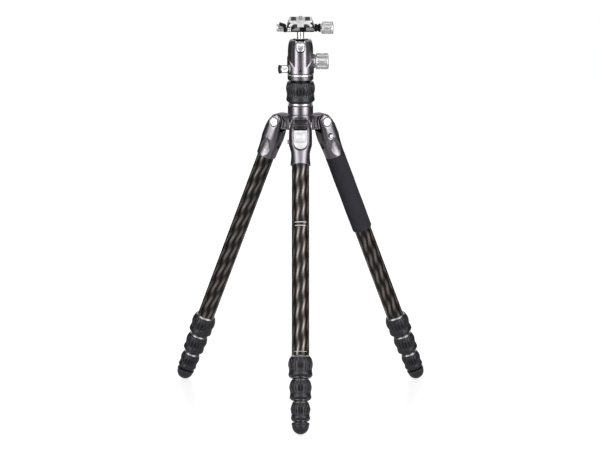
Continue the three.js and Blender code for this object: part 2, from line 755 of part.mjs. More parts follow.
function endCapSolid() {
  const plug = COLUMN_OD / 2 - COLUMN_WALL - GAP;
  const half = HOOK_LUG_WIDTH / 2;
  const cap = turned(
    [
      [0, capBottom],
      [COLUMN_OD / 2 - 1.5, capBottom],
      [COLUMN_OD / 2, capBottom + 1.5],
      [COLUMN_OD / 2, columnBottom - GAP],
      [plug, columnBottom - GAP],
      [plug, columnBottom + PLUG_LENGTH],
      [0, columnBottom + PLUG_LENGTH],
    ],
    TUBE_SIDES,
  );
  const tongue = new THREE.Shape();
  tongue.moveTo(-4, capBottom + 1);
  tongue.lineTo(-4, hookPivot);
  tongue.absarc(0, hookPivot, 4, Math.PI, 2 * Math.PI, false);
  tongue.lineTo(4, capBottom + 1);
  return cap
    .add(prism(tongue, "x", -half, half))
    .subtract(rod("x", HOOK_WIRE + GAP, -half - 1, half + 1, [0, hookPivot]));
}

// A bail of round wire, whose two ends turn inward into the cap's lug.
function hookSolid() {
  const end = HOOK_LUG_WIDTH / 2 - 3;
  const path = new THREE.CurvePath();
  const corner = new THREE.Vector3(HOOK_RADIUS, 0, hookPivot);
  const tip = new THREE.Vector3(end, 0, hookPivot);
  const left = (v) => new THREE.Vector3(-v.x, v.y, v.z);
  const bottom = hookPivot - 2.4 * HOOK_RADIUS;
  const swell = new THREE.Vector3(HOOK_RADIUS + 0.5, 0, bottom);
  path.add(new THREE.LineCurve3(left(tip), left(corner)));
  path.add(new THREE.CubicBezierCurve3(left(corner), left(swell), swell, corner));
  path.add(new THREE.LineCurve3(corner, tip));
  const section = new THREE.Shape();
  section.absarc(0, 0, HOOK_WIRE, 0, 2 * Math.PI, false);
  const geometry = new THREE.ExtrudeGeometry(section, {
    steps: 12,
    curveSegments: 3,
    extrudePath: path,
  });
  return solid(geometry);
}

// ------------------------------------------------------------------ ball head
function panBaseSolid() {
  const top = baseBottom + BASE_HEIGHT;
  const bore = STUD_RADIUS + GAP;
  const boreTop = baseBottom - GAP + STUD_LENGTH + GAP;
  const base = turned([
    [0, baseBottom],
    [BASE_RADIUS - 3, baseBottom],
    [BASE_RADIUS, baseBottom + 2.4],
    [BASE_RADIUS, baseBottom + 5.2],
    [BASE_RADIUS - 1.2, top],
    [SPINDLE_RADIUS, top],
    [SPINDLE_RADIUS, top + SPINDLE_LENGTH],
    [0, top + SPINDLE_LENGTH],
  ]);
  return base.subtract(rod("z", bore, baseBottom - 1, boreTop, [0, 0], TUBE_SIDES));
}

// The socket above the ball's centre closes in on the ball, and below it is a plain bore.
function ballSocket() {
  const inside = BALL_RADIUS + GAP;
  const arc = [];
  for (let i = 0; i <= 3; i += 1) {
    const angle = (Math.asin(BALL_GRIP / inside) * i) / 3;
    arc.push([inside * Math.cos(angle), ballHeight + inside * Math.sin(angle)]);
  }
  const rim = ballHeight + BALL_DROP;
  return turned([
    [0, ballHeight - CUP_DROP - GAP],
    [inside, ballHeight - CUP_DROP - GAP],
    ...arc,
    [HOUSING_MOUTH - 1.1, rim],
    [HOUSING_MOUTH - 1.1, rim + 2],
    [0, rim + 2],
  ]);
}

function dropNotch() {
  const notch = new THREE.Shape();
  notch.moveTo(-NOTCH_HALF, housingTop + 2);
  notch.lineTo(-NOTCH_HALF, ballHeight);
  notch.absarc(0, ballHeight, NOTCH_HALF, Math.PI, 2 * Math.PI, false);
  notch.lineTo(NOTCH_HALF, housingTop + 2);
  return prism(notch, "y", -HOUSING_RADIUS - 3, -BALL_RADIUS * 0.5);
}

const turnToPanKnob = (body) => body.rotate([0, 0, PAN_KNOB_TURN]);
const panKnobAxis = housingBottom + PAN_KNOB_HEIGHT;
const mainShaftAxis = ballHeight - MAIN_SHAFT_DROP;

function housingSolid() {
  const skin = turned([
    [0, housingBottom],
    [HOUSING_RADIUS - 0.8, housingBottom],
    [HOUSING_RADIUS, housingBottom + 1.5],
    [HOUSING_RADIUS, ballHeight - 5],
    [HOUSING_RADIUS - 0.5, ballHeight],
    [HOUSING_RADIUS - 1.4, ballHeight + 4.8],
    [HOUSING_RADIUS - 2.5, housingTop - 1.6],
    [HOUSING_MOUTH, housingTop],
    [0, housingTop],
  ]);
  const boss = turned([
    [0, BALL_RADIUS],
    [MAIN_BOSS_RADIUS + 1, BALL_RADIUS],
    [MAIN_BOSS_RADIUS, MAIN_BOSS_END],
    [0, MAIN_BOSS_END],
  ]);
  const bearing = rod(
    "z",
    SPINDLE_RADIUS + GAP,
    housingBottom - 1,
    housingBottom + SPINDLE_LENGTH,
    [0, 0],
    ROUND_SIDES,
  );
  const shaftBore = rod(
    "x",
    MAIN_SHAFT_RADIUS + GAP,
    -PLUNGER_RADIUS - 1,
    MAIN_BOSS_END + 1,
    [0, mainShaftAxis],
    TUBE_SIDES,
  );
  const well = rod(
    "z",
    PLUNGER_RADIUS + GAP,
    mainShaftAxis,
    ballHeight - CUP_DROP,
    [0, 0],
    TUBE_SIDES,
  );
  const panBore = rod("x", PAN_SHAFT_RADIUS + GAP, -HOUSING_RADIUS - 2, 0, [0, panKnobAxis]);
  return skin
    .add(lay(boss, "x").translate([0, 0, mainShaftAxis]))
    .subtract(bearing)
    .subtract(ballSocket())
    .subtract(shaftBore)
    .subtract(well)
    .subtract(turnToPanKnob(panBore))
    .subtract(dropNotch());
}

function ballStemSolid() {
  const arc = [];
  const steps = 7;
  const neck = Math.asin((STEM_RADIUS + 0.6) / BALL_RADIUS);
  for (let i = 0; i <= steps; i += 1) {
    const angle = -Math.PI / 2 + ((Math.PI - neck) * i) / steps;
    arc.push([BALL_RADIUS * Math.max(Math.cos(angle), 0), BALL_RADIUS * Math.sin(angle)]);
  }
  arc[0][0] = 0;
  const top = STEM_TOP - GAP;
  const ball = turned([
    ...arc,
    [STEM_RADIUS, BALL_RADIUS + 0.6],
    [STEM_RADIUS, top],
    [STEM_SPIGOT_RADIUS, top],
    [STEM_SPIGOT_RADIUS, top + STEM_SPIGOT_LENGTH],
    [0, top + STEM_SPIGOT_LENGTH],
  ], ROUND_SIDES);
  return ball.translate([0, 0, ballHeight]);
}

// The seat under the ball, hollowed to the ball's own round.
function ballCupSolid() {
  const inside = BALL_RADIUS + GAP;
  const bottom = -CUP_DROP;
  const top = bottom + CUP_HEIGHT;
  const hole = STEM_RADIUS;
  const arc = [];
  const start = Math.asin(hole / inside);
  const end = Math.acos(-top / inside);
  for (let i = 0; i <= 4; i += 1) {
    const angle = start + ((end - start) * i) / 4;
    arc.push([inside * Math.sin(angle), -inside * Math.cos(angle)]);
  }
  const cup = turned([[hole, bottom], [BALL_RADIUS, bottom], [BALL_RADIUS, top], ...arc.reverse()]);
  return cup.translate([0, 0, ballHeight]);
}

// The round wedge that the main shaft lifts against the cup.
function plungerSolid() {
  const bottom = mainShaftAxis + MAIN_SHAFT_RADIUS + GAP;
  const top = ballHeight - CUP_DROP - GAP;
  return turned(
    [[0, bottom], [PLUNGER_RADIUS - 0.8, bottom], [PLUNGER_RADIUS, top], [0, top]],
    TUBE_SIDES,
  );
}

// A fluted knob with its shaft, made along Z from its inner face at height 0.
function knob({ radius, length, flutes, flute, shaftRadius, shaftLength }) {
  return turned(
    [
      [0, -shaftLength],
      [shaftRadius, -shaftLength],
      [shaftRadius, 0],
      [radius - 2, 0],
      [radius - 0.6, 1.6],
      [radius, length * 0.28, flute],
      [radius, length * 0.76, flute],
      [radius - 0.6, length - 1.6],
      [radius - 2, length],
      [0, length],
    ],
    2 * flutes,
  );
}

function mainKnobSolid() {
  const start = MAIN_BOSS_END + GAP;
  const body = knob({
    radius: MAIN_KNOB_RADIUS,
    length: MAIN_KNOB_LENGTH,
    flutes: MAIN_KNOB_FLUTES,
    flute: 0.9,
    shaftRadius: MAIN_SHAFT_RADIUS,
    shaftLength: start + PLUNGER_RADIUS,
  });
  return lay(body, "x").translate([start, 0, mainShaftAxis]);
}

// Knurled barrel with a plain dark cap, on a shaft that bears on the base's spindle.
function panKnobSolid() {
  const start = HOUSING_RADIUS + GAP;
  const tip = SPINDLE_RADIUS + 2 * GAP;
  const capStart = PAN_KNOB_END - PAN_CAP_LENGTH;
  const body = turned(
    [
      [0, tip],
      [PAN_SHAFT_RADIUS, tip],
      [PAN_SHAFT_RADIUS, start],
      [PAN_KNOB_RADIUS - 1, start],
      [PAN_KNOB_RADIUS, start + 1.2],
      [PAN_KNOB_RADIUS, capStart],
      [PAN_CAP_RADIUS, capStart],
      [PAN_CAP_RADIUS, PAN_KNOB_END - 1],
      [PAN_CAP_RADIUS - 1, PAN_KNOB_END],
      [0, PAN_KNOB_END],
    ],
    TUBE_SIDES,
  );
  return turnToPanKnob(body.rotate([0, -90, 0]).translate([0, 0, panKnobAxis]));
}

// ------------------------------------------------------------------ clamp and plate
// Heights here start at the clamp's underside.
const clampBottom = ballHeight + STEM_TOP;
const clampFront = -CLAMP_LENGTH / 2;
const plateFoot = CLAMP_FLOOR + GAP;
const hookHeight = plateFoot + 2.6; // where the dovetail's flange is widest
const neckHeight = hookHeight + (DOVETAIL_HALF - DOVETAIL_NECK);

// Inner wall of a jaw, from the clamp's floor up, following the plate's dovetail at a gap.
const jawWall = [
  [DOVETAIL_HALF + GAP, CLAMP_FLOOR],
  [DOVETAIL_HALF + GAP, hookHeight + GAP / 2],
  [DOVETAIL_NECK + GAP, neckHeight + GAP / 2],
  [DOVETAIL_NECK + GAP, CLAMP_HEIGHT],
];
const jawBack = [
  [JAW_TOP_HALF, CLAMP_HEIGHT],
  [CLAMP_HALF, CLAMP_HEIGHT * 0.42],
  [CLAMP_HALF, 1],
  [CLAMP_HALF - 1, 0],
];

function clampBodySolid() {
  const mirrored = (points) => points.map(([x, z]) => [-x, z]);
  const side = outline([
    [JAW_SPLIT - GAP, 0],
    [JAW_SPLIT - GAP, CLAMP_FLOOR],
    ...mirrored(jawWall),
    ...mirrored(jawBack),
  ]);
  const pivot = [-CLAMP_HALF - LEVER_PIVOT_OUT, LEVER_PIVOT_HEIGHT];
  const leverMiddle = clampFront + LEVER_SETBACK;
  const inner = LEVER_WIDTH / 2 + GAP;
  let body = prism(side, "y", clampFront, -clampFront);
  for (const sign of [-1, 1]) {
    const [near, far] = [leverMiddle + sign * inner, leverMiddle + sign * (inner + EAR_THICKNESS)];
    const ear = new THREE.Shape();
    ear.moveTo(-CLAMP_HALF + 2, 0.5);
    ear.lineTo(-CLAMP_HALF + 2, LEVER_PIVOT_HEIGHT + 2.6);
    ear.lineTo(pivot[0], LEVER_PIVOT_HEIGHT + 2.6);
    ear.absarc(pivot[0], pivot[1], 2.6, Math.PI / 2, (3 * Math.PI) / 2, false);
    body = body.add(prism(ear, "y", Math.min(near, far), Math.max(near, far)));
  }
  const levelX = -CLAMP_HALF + 1.4;
  const screwBore = rod("x", SCREW_RADIUS + GAP, STEM_SPIGOT_RADIUS + 2, CLAMP_HALF, [0, SCREW_HEIGHT]);
  const panBore = rod("x", 2 + GAP, -CLAMP_HALF - 1, 0, [0, SCREW_HEIGHT]);
  const spigot = rod(
    "z",
    STEM_SPIGOT_RADIUS + GAP,
    -1,
    STEM_SPIGOT_LENGTH,
    [0, 0],
    TUBE_SIDES,
  );
  return body
    .subtract(rod("y", LEVER_PIN_RADIUS + GAP, clampFront - 2, leverMiddle + inner + 5, pivot))
    .subtract(screwBore)
    .subtract(panBore)
    .subtract(spigot)
    .subtract(
      box(
        levelX - GAP,
        levelX + LEVEL_SIZE + GAP,
        clampFront - 1,
        clampFront + LEVEL_DEPTH + GAP,
        1 - GAP,
        1 + LEVEL_SIZE + GAP,
      ),
    )
    .translate([0, 0, clampBottom]);
}

function clampJawSolid() {
  const side = outline([
    [JAW_SPLIT, 0],
    [JAW_SPLIT, CLAMP_FLOOR],
    ...jawWall,
    ...jawBack,
  ]);
  return prism(side, "y", clampFront, -clampFront)
    .subtract(rod("x", SCREW_RADIUS + GAP, 0, CLAMP_HALF + 1, [0, SCREW_HEIGHT]))
    .translate([0, 0, clampBottom]);
}

// The waisted spring housing between the jaw and the knob.
function clampCollarSolid() {
  const inner = SCREW_RADIUS + GAP;
  const collar = turned(
    [
      [inner, 0],
      [CLAMP_COLLAR_RADIUS - 1.6, 0],
      [CLAMP_COLLAR_RADIUS - 0.4, 2],
      [CLAMP_COLLAR_RADIUS - 2, CLAMP_COLLAR_LENGTH * 0.5],
      [CLAMP_COLLAR_RADIUS, CLAMP_COLLAR_LENGTH * 0.85],
      [CLAMP_COLLAR_RADIUS - 0.6, CLAMP_COLLAR_LENGTH],
      [inner, CLAMP_COLLAR_LENGTH],
    ],
    TUBE_SIDES,
  );
  return lay(collar, "x").translate([CLAMP_HALF + GAP, 0, clampBottom + SCREW_HEIGHT]);
}

function clampKnobSolid() {
  const start = CLAMP_HALF + CLAMP_COLLAR_LENGTH + 2 * GAP;
  const body = knob({
    radius: CLAMP_KNOB_RADIUS,
    length: CLAMP_KNOB_LENGTH,
    flutes: CLAMP_KNOB_FLUTES,
    flute: 0.5,
    shaftRadius: SCREW_RADIUS,
    shaftLength: start - STEM_SPIGOT_RADIUS - 2.5,
  });
  return lay(body, "x").translate([start, 0, clampBottom + SCREW_HEIGHT]);
}

function clampPanKnobSolid() {
  const body = knob({
    radius: CLAMP_PAN_KNOB_RADIUS,
    length: CLAMP_PAN_KNOB_LENGTH,
    flutes: 8,
    flute: 0.4,
    shaftRadius: 2,
    shaftLength: CLAMP_PAN_KNOB_START - STEM_SPIGOT_RADIUS - 2 * GAP,
  });
  return body
    .rotate([0, -90, 0])
    .translate([-CLAMP_PAN_KNOB_START, 0, clampBottom + SCREW_HEIGHT]);
}

// The cranked lever, which turns on its own pin between the clamp's two ears.
function leverSolid() {
  const x = -CLAMP_HALF - LEVER_PIVOT_OUT;
  const z = LEVER_PIVOT_HEIGHT;
  const side = new THREE.Shape();
  side.moveTo(x + 1.9, z);
  side.lineTo(x + 1.9, z + 8);
  side.lineTo(x + 0.6, z + 10.2);
  side.lineTo(x - 8.4, z + 13);
  side.lineTo(x - 9.4, z + 12.2);
  side.lineTo(x - 9.6, z + 7.8);
  side.lineTo(x - 3.4, z + 6.2);
  side.lineTo(x - 1.9, z + 4.4);
  side.lineTo(x - 1.9, z);
  side.absarc(x, z, 1.9, Math.PI, 2 * Math.PI, false);
  const middle = clampFront + LEVER_SETBACK;
  const half = LEVER_WIDTH / 2;
  const reach = half + GAP + EAR_THICKNESS - 0.4;
  return prism(side, "y", middle - half, middle + half)
    .add(rod("y", LEVER_PIN_RADIUS, middle - reach, middle + reach, [x, z]))
    .translate([0, 0, clampBottom]);
}

function levelSolid() {
  const x = -CLAMP_HALF + 1.4;
  return box(x, x + LEVEL_SIZE, clampFront + 0.1, clampFront + LEVEL_DEPTH, 1, 1 + LEVEL_SIZE)
    .translate([0, 0, clampBottom]);
}

// The plate, with its dovetail below and two anti-slip strips on top.
function plateSolid() {
  const top = plateFoot + PLATE_HEIGHT;
  const half = [
    [DOVETAIL_HALF - 1.6, plateFoot],
    [DOVETAIL_HALF, plateFoot + 1.6],
    [DOVETAIL_HALF, hookHeight],
    [DOVETAIL_NECK, neckHeight],
    [DOVETAIL_NECK, CLAMP_HEIGHT + GAP],
    [PLATE_TOP_HALF, CLAMP_HEIGHT + GAP],
    [PLATE_TOP_HALF, top - 1],
    [PLATE_TOP_HALF - 1, top],
  ];
  const padEdge = (x) => [[x, top], [x, top + PAD_PROUD]];
  const pad = [
    ...padEdge(PAD_OFFSET + PAD_WIDTH / 2),
    ...padEdge(PAD_OFFSET - PAD_WIDTH / 2).reverse(),
  ];
  const right = [...half, ...pad];
  const left = right.map(([x, z]) => [-x, z]).reverse();
  const end = PLATE_LENGTH / 2;
  const headBore = CAMERA_SCREW_HEAD + 2 * GAP;
  const roof = plateFoot + POCKET_HEIGHT;
  let body = prism(outline([...right, ...left]), "y", -end, end);
  for (const [near, far] of [[-end - 1, POCKET_LENGTH - end], [end - POCKET_LENGTH, end + 1]]) {
    body = body
      .subtract(box(POCKET_INNER, POCKET_OUTER, near, far, 0, roof))
      .subtract(box(-POCKET_OUTER, -POCKET_INNER, near, far, 0, roof));
  }
  return body
    .subtract(rod("z", CAMERA_SCREW_RADIUS + GAP, 0, top + 2, [0, 0]))
    .subtract(
      rod(
        "z",
        headBore,
        0,
        plateFoot + CAMERA_SCREW_HEAD_HEIGHT + 2 * GAP,
        [0, 0],
        TUBE_SIDES,
      ),
    )
    .translate([0, 0, clampBottom]);
}

function cameraScrewSolid() {
  const foot = plateFoot + GAP;
  const head = foot + CAMERA_SCREW_HEAD_HEIGHT;
  const tip = plateFoot + PLATE_HEIGHT + CAMERA_SCREW_PROUD;
  return turned(
    [
      [0, foot],
      [CAMERA_SCREW_HEAD, foot],
      [CAMERA_SCREW_HEAD, head],
      [CAMERA_SCREW_RADIUS, head],
      [CAMERA_SCREW_RADIUS, tip - 0.8],
      [CAMERA_SCREW_RADIUS - 0.8, tip],
      [0, tip],
    ],
    SMALL_SIDES,
  ).translate([0, 0, clampBottom]);
}

// ------------------------------------------------------------------ assembly
const frame = new THREE.Group();
frame.add(piece("spider", spiderSolid(), GUNMETAL));
frame.add(piece("column_lock_ring", lockRingSolid(), SILVER));
frame.add(piece("column_lock_grip", columnGripSolid(), RUBBER));
frame.add(piece("column_tube", columnTubeSolid(), CARBON));
frame.add(piece("column_top_plate", topPlateSolid(), BLACK));
frame.add(piece("column_end_cap", endCapSolid(), BLACK));
frame.add(piece("weight_hook", hookSolid(), SILVER));
frame.add(leg("a", 0, false));
frame.add(leg("b", -120, false));
frame.add(leg("c", 120, true));

const head = new THREE.Group();
head.add(piece("pan_base", panBaseSolid(), GUNMETAL));
head.add(piece("head_housing", housingSolid(), GUNMETAL));
head.add(piece("ball_stem", ballStemSolid(), SILVER));
head.add(piece("ball_cup", ballCupSolid(), BLACK));
head.add(piece("lock_plunger", plungerSolid(), SILVER));
head.add(piece("main_knob", mainKnobSolid(), SILVER));
head.add(piece("pan_knob", panKnobSolid(), SILVER));
head.add(piece("clamp_body", clampBodySolid(), BLACK));
head.add(piece("clamp_jaw", clampJawSolid(), BLACK));
head.add(piece("clamp_collar", clampCollarSolid(), BLACK));
head.add(piece("clamp_knob", clampKnobSolid(), SILVER));
head.add(piece("clamp_pan_knob", clampPanKnobSolid(), SILVER));
head.add(piece("safety_lever", leverSolid(), BLACK));
head.add(piece("bubble_level", levelSolid(), VIAL));
head.add(piece("qr_plate", plateSolid(), SILVER));
head.add(piece("camera_screw", cameraScrewSolid(), SILVER));
frame.add(head);

// The whole stands on the ground, with the middle of its box over the origin.
const tripod = new THREE.Group();
tripod.add(frame);
frame.position.z = hingeHeight;
const extent = new THREE.Box3().setFromObject(tripod, true);
const middle = extent.getCenter(new THREE.Vector3());
frame.position.set(-middle.x, -middle.y, hingeHeight - extent.min.z);

export default tripod;
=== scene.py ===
"""A travel tripod with a ball head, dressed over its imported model."""

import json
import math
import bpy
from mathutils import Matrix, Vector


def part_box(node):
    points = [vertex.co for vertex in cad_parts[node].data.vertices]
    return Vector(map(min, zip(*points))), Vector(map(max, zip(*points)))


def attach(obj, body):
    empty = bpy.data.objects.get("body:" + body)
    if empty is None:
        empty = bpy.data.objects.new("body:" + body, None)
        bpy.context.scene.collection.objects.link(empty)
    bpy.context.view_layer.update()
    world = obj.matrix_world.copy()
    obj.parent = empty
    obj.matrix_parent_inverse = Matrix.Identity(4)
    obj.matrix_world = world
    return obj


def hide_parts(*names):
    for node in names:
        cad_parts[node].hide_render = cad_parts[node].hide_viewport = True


bl_info = {
    "name": "Travel Tripod",
    "version": (1, 0, 0),
    "blender": (4, 5, 0),
    "location": "3D View > Sidebar > Tripod",
    "description": "Builds the visible pieces of a travel tripod and its ball head",
    "category": "Add Mesh",
}

import bmesh
import bpy
from bpy.props import FloatProperty, FloatVectorProperty, IntProperty, PointerProperty
from mathutils import Matrix, Vector

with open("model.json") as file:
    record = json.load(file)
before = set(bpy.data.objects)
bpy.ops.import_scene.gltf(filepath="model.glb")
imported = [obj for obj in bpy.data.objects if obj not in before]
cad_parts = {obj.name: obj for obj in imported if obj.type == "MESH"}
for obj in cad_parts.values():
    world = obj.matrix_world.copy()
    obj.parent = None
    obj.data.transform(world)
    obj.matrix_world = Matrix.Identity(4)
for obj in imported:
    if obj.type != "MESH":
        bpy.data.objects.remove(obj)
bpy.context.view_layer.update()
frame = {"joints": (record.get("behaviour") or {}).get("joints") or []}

MM = 0.001
LEGS = ("a", "b", "c")
JOINTS = {joint["name"]: joint for joint in frame["joints"]}


def middle(node):
    """The middle of a node's box."""
    low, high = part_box(node)
    return (low + high) / 2


def floor_of(node):
    """The height of a node's lowest point, in millimetres."""
    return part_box(node)[0].z / MM


def roof_of(node):
    """The height of a node's highest point, in millimetres."""
    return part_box(node)[1].z / MM


# The column's axis, and the hinge, the downward line and the frame of each leg. In a leg's
# frame the hinge is the origin, X is the hinge's axis, the leg runs down -Z and -Y is outside.
AXIS_Y = middle("column_tube").y
HINGE = {leg: Vector(JOINTS[f"leg_fold_{leg}"]["pos_m"]) for leg in LEGS}
DOWN = {leg: Vector(JOINTS[f"section_2_{leg}_slide"]["axis"]) for leg in LEGS}


def leg_frame(leg):
    """The matrix that carries a piece from the leg's own frame to its place."""
    across = -Vector(JOINTS[f"leg_fold_{leg}"]["axis"])
    up = -DOWN[leg]
    inward = up.cross(across)
    turn = Matrix((across, inward, up)).transposed().to_4x4()
    return Matrix.Translation(HINGE[leg]) @ turn


AXIS = Matrix.Translation((0, AXIS_Y, 0))
ALONG_X = Matrix.Rotation(math.pi / 2, 4, "Y")
BALL_Z = JOINTS["ball_tilt"]["pos_m"][2] / MM
CLAMP_Z = floor_of("clamp_jaw")
SCREW_Z = JOINTS["clamp_knob_turn"]["pos_m"][2] / MM

# Sizes of the leg, in millimetres, measured down from the hinge
TUBE_RADII = (14.0, 12.5, 11.0, 9.5)
TUBE_WALL = 1.2
TUBE_TOPS = (50.3, 50.3, 56.3, 62.3)
CASTING = 64.0
LOCK_TOPS = (374.0, 411.3, 447.2)
LOCK_LENGTHS = (35.3, 33.9, 31.3)
LOCK_CRESTS = (19.75, 17.95, 15.85)
FLANGE = 3.0
FOOT_TOP = 480.5
GAP = 0.3

# The leg's hinge, the pin of the angle tab in the leg's frame, how far the leg is spread at
# each notch of the spider's lug, and where the tab's tooth stands on that rim, in degrees
HINGE_PIN = 4.0
PIN_HEAD = 7.2
HINGE_BORE = HINGE_PIN + GAP
TAB_PIVOT = (3.75, -24.3)
TAB_BORE = 2.3
TAB_SEAT = 4.6
STOPS = (22.57, 52.0, 84.0)
TOOTH = 50.0

# The ball and its seat, and the pin of the safety lever in the clamp's frame
BALL_RADIUS = 15.0
SEAT_RADIUS = BALL_RADIUS + GAP
STEM_RADIUS = 5.9
LEVER_PIN = (-24.9, 1.8)


# ---------------------------------------------------------------- settings
class TripodSizes(bpy.types.PropertyGroup):
    """Sizes that a user would change."""

    lock_ribs: IntProperty(
        name="Leg Lock Ribs", description="Ribs round each leg lock", default=20, min=6
    )
    column_ribs: IntProperty(
        name="Column Lock Ribs", description="Ribs round the column lock", default=26, min=6
    )
    rib_depth: FloatProperty(
        name="Rib Depth", description="Depth between two ribs", default=0.0017, unit="LENGTH"
    )
    main_flutes: IntProperty(
        name="Main Knob Flutes", description="Flutes round the main knob", default=14, min=6
    )
    knurl: IntProperty(
        name="Knurl Lines", description="Fine lines round the clamp knob", default=36, min=12
    )
    edge: FloatProperty(
        name="Edge Rounding", description="Radius on machined edges", default=0.00035,
        unit="LENGTH",
    )


def colour_setting(name, description, default):
    """A colour that the panel shows."""
    return FloatVectorProperty(
        name=name, description=description, default=default, subtype="COLOR", min=0, max=1,
    )


class TripodFinish(bpy.types.PropertyGroup):
    """Colours that a user would change."""

    gunmetal: colour_setting("Gunmetal", "Castings, housing and collar", (0.27, 0.252, 0.276))
    silver: colour_setting("Silver", "Knobs, tabs, pins and plate", (0.86, 0.86, 0.87))
    carbon: colour_setting("Carbon", "Dark ground of the tubes", (0.0085, 0.0072, 0.0065))
    fibre: colour_setting("Fibre", "Pale streaks in the tubes", (0.32, 0.276, 0.258))
    rubber: colour_setting("Rubber", "Lock grips and feet", (0.0122, 0.0112, 0.0158))
    foam: colour_setting("Foam", "Sleeve on one leg", (0.0175, 0.0163, 0.0236))


# ---------------------------------------------------------------- modelling by hand
def deselect():
    """Leaves edit mode, with nothing selected."""
    if bpy.context.object and bpy.context.object.mode != "OBJECT":
        bpy.ops.object.mode_set(mode="OBJECT")
    bpy.ops.object.select_all(action="DESELECT")


def activate(obj):
    """Makes one object the selected and active one."""
    deselect()
    obj.select_set(True)
    bpy.context.view_layer.objects.active = obj


def turned(name, profile, sides=64, ring=False):
    """A solid of revolution about Z through (radius, height) points in millimetres. A ring's
    profile closes on itself, and any other is capped at both ends."""
    deselect()
    radius, height = profile[0]
    bpy.ops.mesh.primitive_circle_add(
        vertices=sides, radius=radius * MM, fill_type="NOTHING" if ring else "NGON",
        enter_editmode=True, location=(0, 0, 0),
    )
    bpy.ops.transform.translate(value=(0, 0, height * MM))
    for new_radius, new_height in profile[1:] + (profile[:1] if ring else []):
        rise = (new_height - height) * MM
        bpy.ops.mesh.extrude_region_move(TRANSFORM_OT_translate={"value": (0, 0, rise)})
        scale = new_radius / radius
        if abs(scale - 1) > 1e-6:
            bpy.ops.transform.resize(value=(scale, scale, 1), center_override=(0, 0, 0))
        radius, height = new_radius, new_height
    bpy.ops.mesh.select_all(action="SELECT")
    if ring:
        bpy.ops.mesh.remove_doubles(threshold=1e-6)
    bpy.ops.mesh.normals_make_consistent(inside=False)
    bpy.ops.object.mode_set(mode="OBJECT")
    obj = bpy.context.object
    obj.name = name
    return obj


def prism(name, outline, axis, start, end):
    """An outline drawn by extruding a point, filled, and pushed along an axis. Its plane is
    (y, z) along x, (x, z) along y and (x, y) along z, in millimetres."""
    def at(u, v, w):
        places = {"x": (w, u, v), "y": (u, w, v), "z": (u, v, w)}
        return Vector(places[axis]) * MM

    deselect()
    bpy.ops.mesh.primitive_plane_add(size=0.001, enter_editmode=True, location=(0, 0, 0))
    bpy.ops.mesh.merge(type="CENTER")
    points = [at(u, v, start) for u, v in outline]
    bpy.ops.transform.translate(value=points[0])
    for here, there in zip(points, points[1:]):
        bpy.ops.mesh.extrude_vertices_move(TRANSFORM_OT_translate={"value": there - here})
    bpy.ops.mesh.select_all(action="SELECT")
    bpy.ops.mesh.edge_face_add()
    step = at(0, 0, end) - at(0, 0, start)
    bpy.ops.mesh.extrude_region_move(TRANSFORM_OT_translate={"value": step})
    bpy.ops.mesh.select_all(action="SELECT")
    bpy.ops.mesh.normals_make_consistent(inside=False)
    bpy.ops.object.mode_set(mode="OBJECT")
    obj = bpy.context.object
    obj.name = name
    return obj


def block(name, low, high):
    """A box between two corners in millimetres."""
    x0, y0, z0 = low
    x1, y1, z1 = high
    return prism(name, [(x0, y0), (x1, y0), (x1, y1), (x0, y1)], "z", z0, z1)


def bar(name, axis, radius, start, end, centre=(0, 0), sides=32):
    """A round bar along an axis, through a point of the plane across it."""
    obj = turned(name, [(radius, start), (radius, end)], sides)
    turns = {"x": ALONG_X, "y": Matrix.Rotation(-math.pi / 2, 4, "X")}
    u, v = centre
    shift = {"x": (0, u, v), "y": (u, 0, v), "z": (u, v, 0)}[axis]
    return place(obj, Matrix.Translation(Vector(shift) * MM) @ turns.get(axis, Matrix()))


def fillet(profile, radius, steps=3):
    """The profile with its corners rounded, in millimetres."""
    rounded = [profile[0]]
    for before, here, after in zip(profile, profile[1:], profile[2:]):
        here = Vector(here)
        back = Vector(before) - here
        ahead = Vector(after) - here
        if back.length < 1e-6 or ahead.length < 1e-6 or back.angle(ahead) > 2.9:
            rounded.append(tuple(here))
            continue
        cut = min(radius, back.length * 0.45, ahead.length * 0.45)
        start = here + back.normalized() * cut
        end = here + ahead.normalized() * cut
        for i in range(steps + 1):
            t = i / steps
            point = start * (1 - t) ** 2 + here * (2 * t * (1 - t)) + end * t ** 2
            rounded.append(tuple(point))
    return rounded + [profile[-1]]


def rounded_ring(name, outline, radius, sides):
    """A ring turned from a closed outline whose corners are rounded."""
    return turned(name, fillet([*outline, outline[0]], radius)[:-1], sides, ring=True)


def arc_points(centre, radius, start, end, steps=12):
    """Points on an arc between two angles in degrees."""
    u, v = centre
    angles = [math.radians(start + (end - start) * i / steps) for i in range(steps + 1)]
    return [(u + radius * math.cos(a), v + radius * math.sin(a)) for a in angles]


def smooth_line(points, steps=5):
    """A smooth line through (radius, height) points, as a lathe hand would sweep it."""
    line = []
    padded = [points[0]] + list(points) + [points[-1]]
    for p0, p1, p2, p3 in zip(padded, padded[1:], padded[2:], padded[3:]):
        for i in range(steps):
            t = i / steps
            line.append(tuple(
                0.5 * (2 * b + (c - a) * t + (2 * a - 5 * b + 4 * c - d) * t * t
                       + (3 * b - a - 3 * c + d) * t ** 3)
                for a, b, c, d in zip(p0, p1, p2, p3)
            ))
    return line + [tuple(points[-1])]


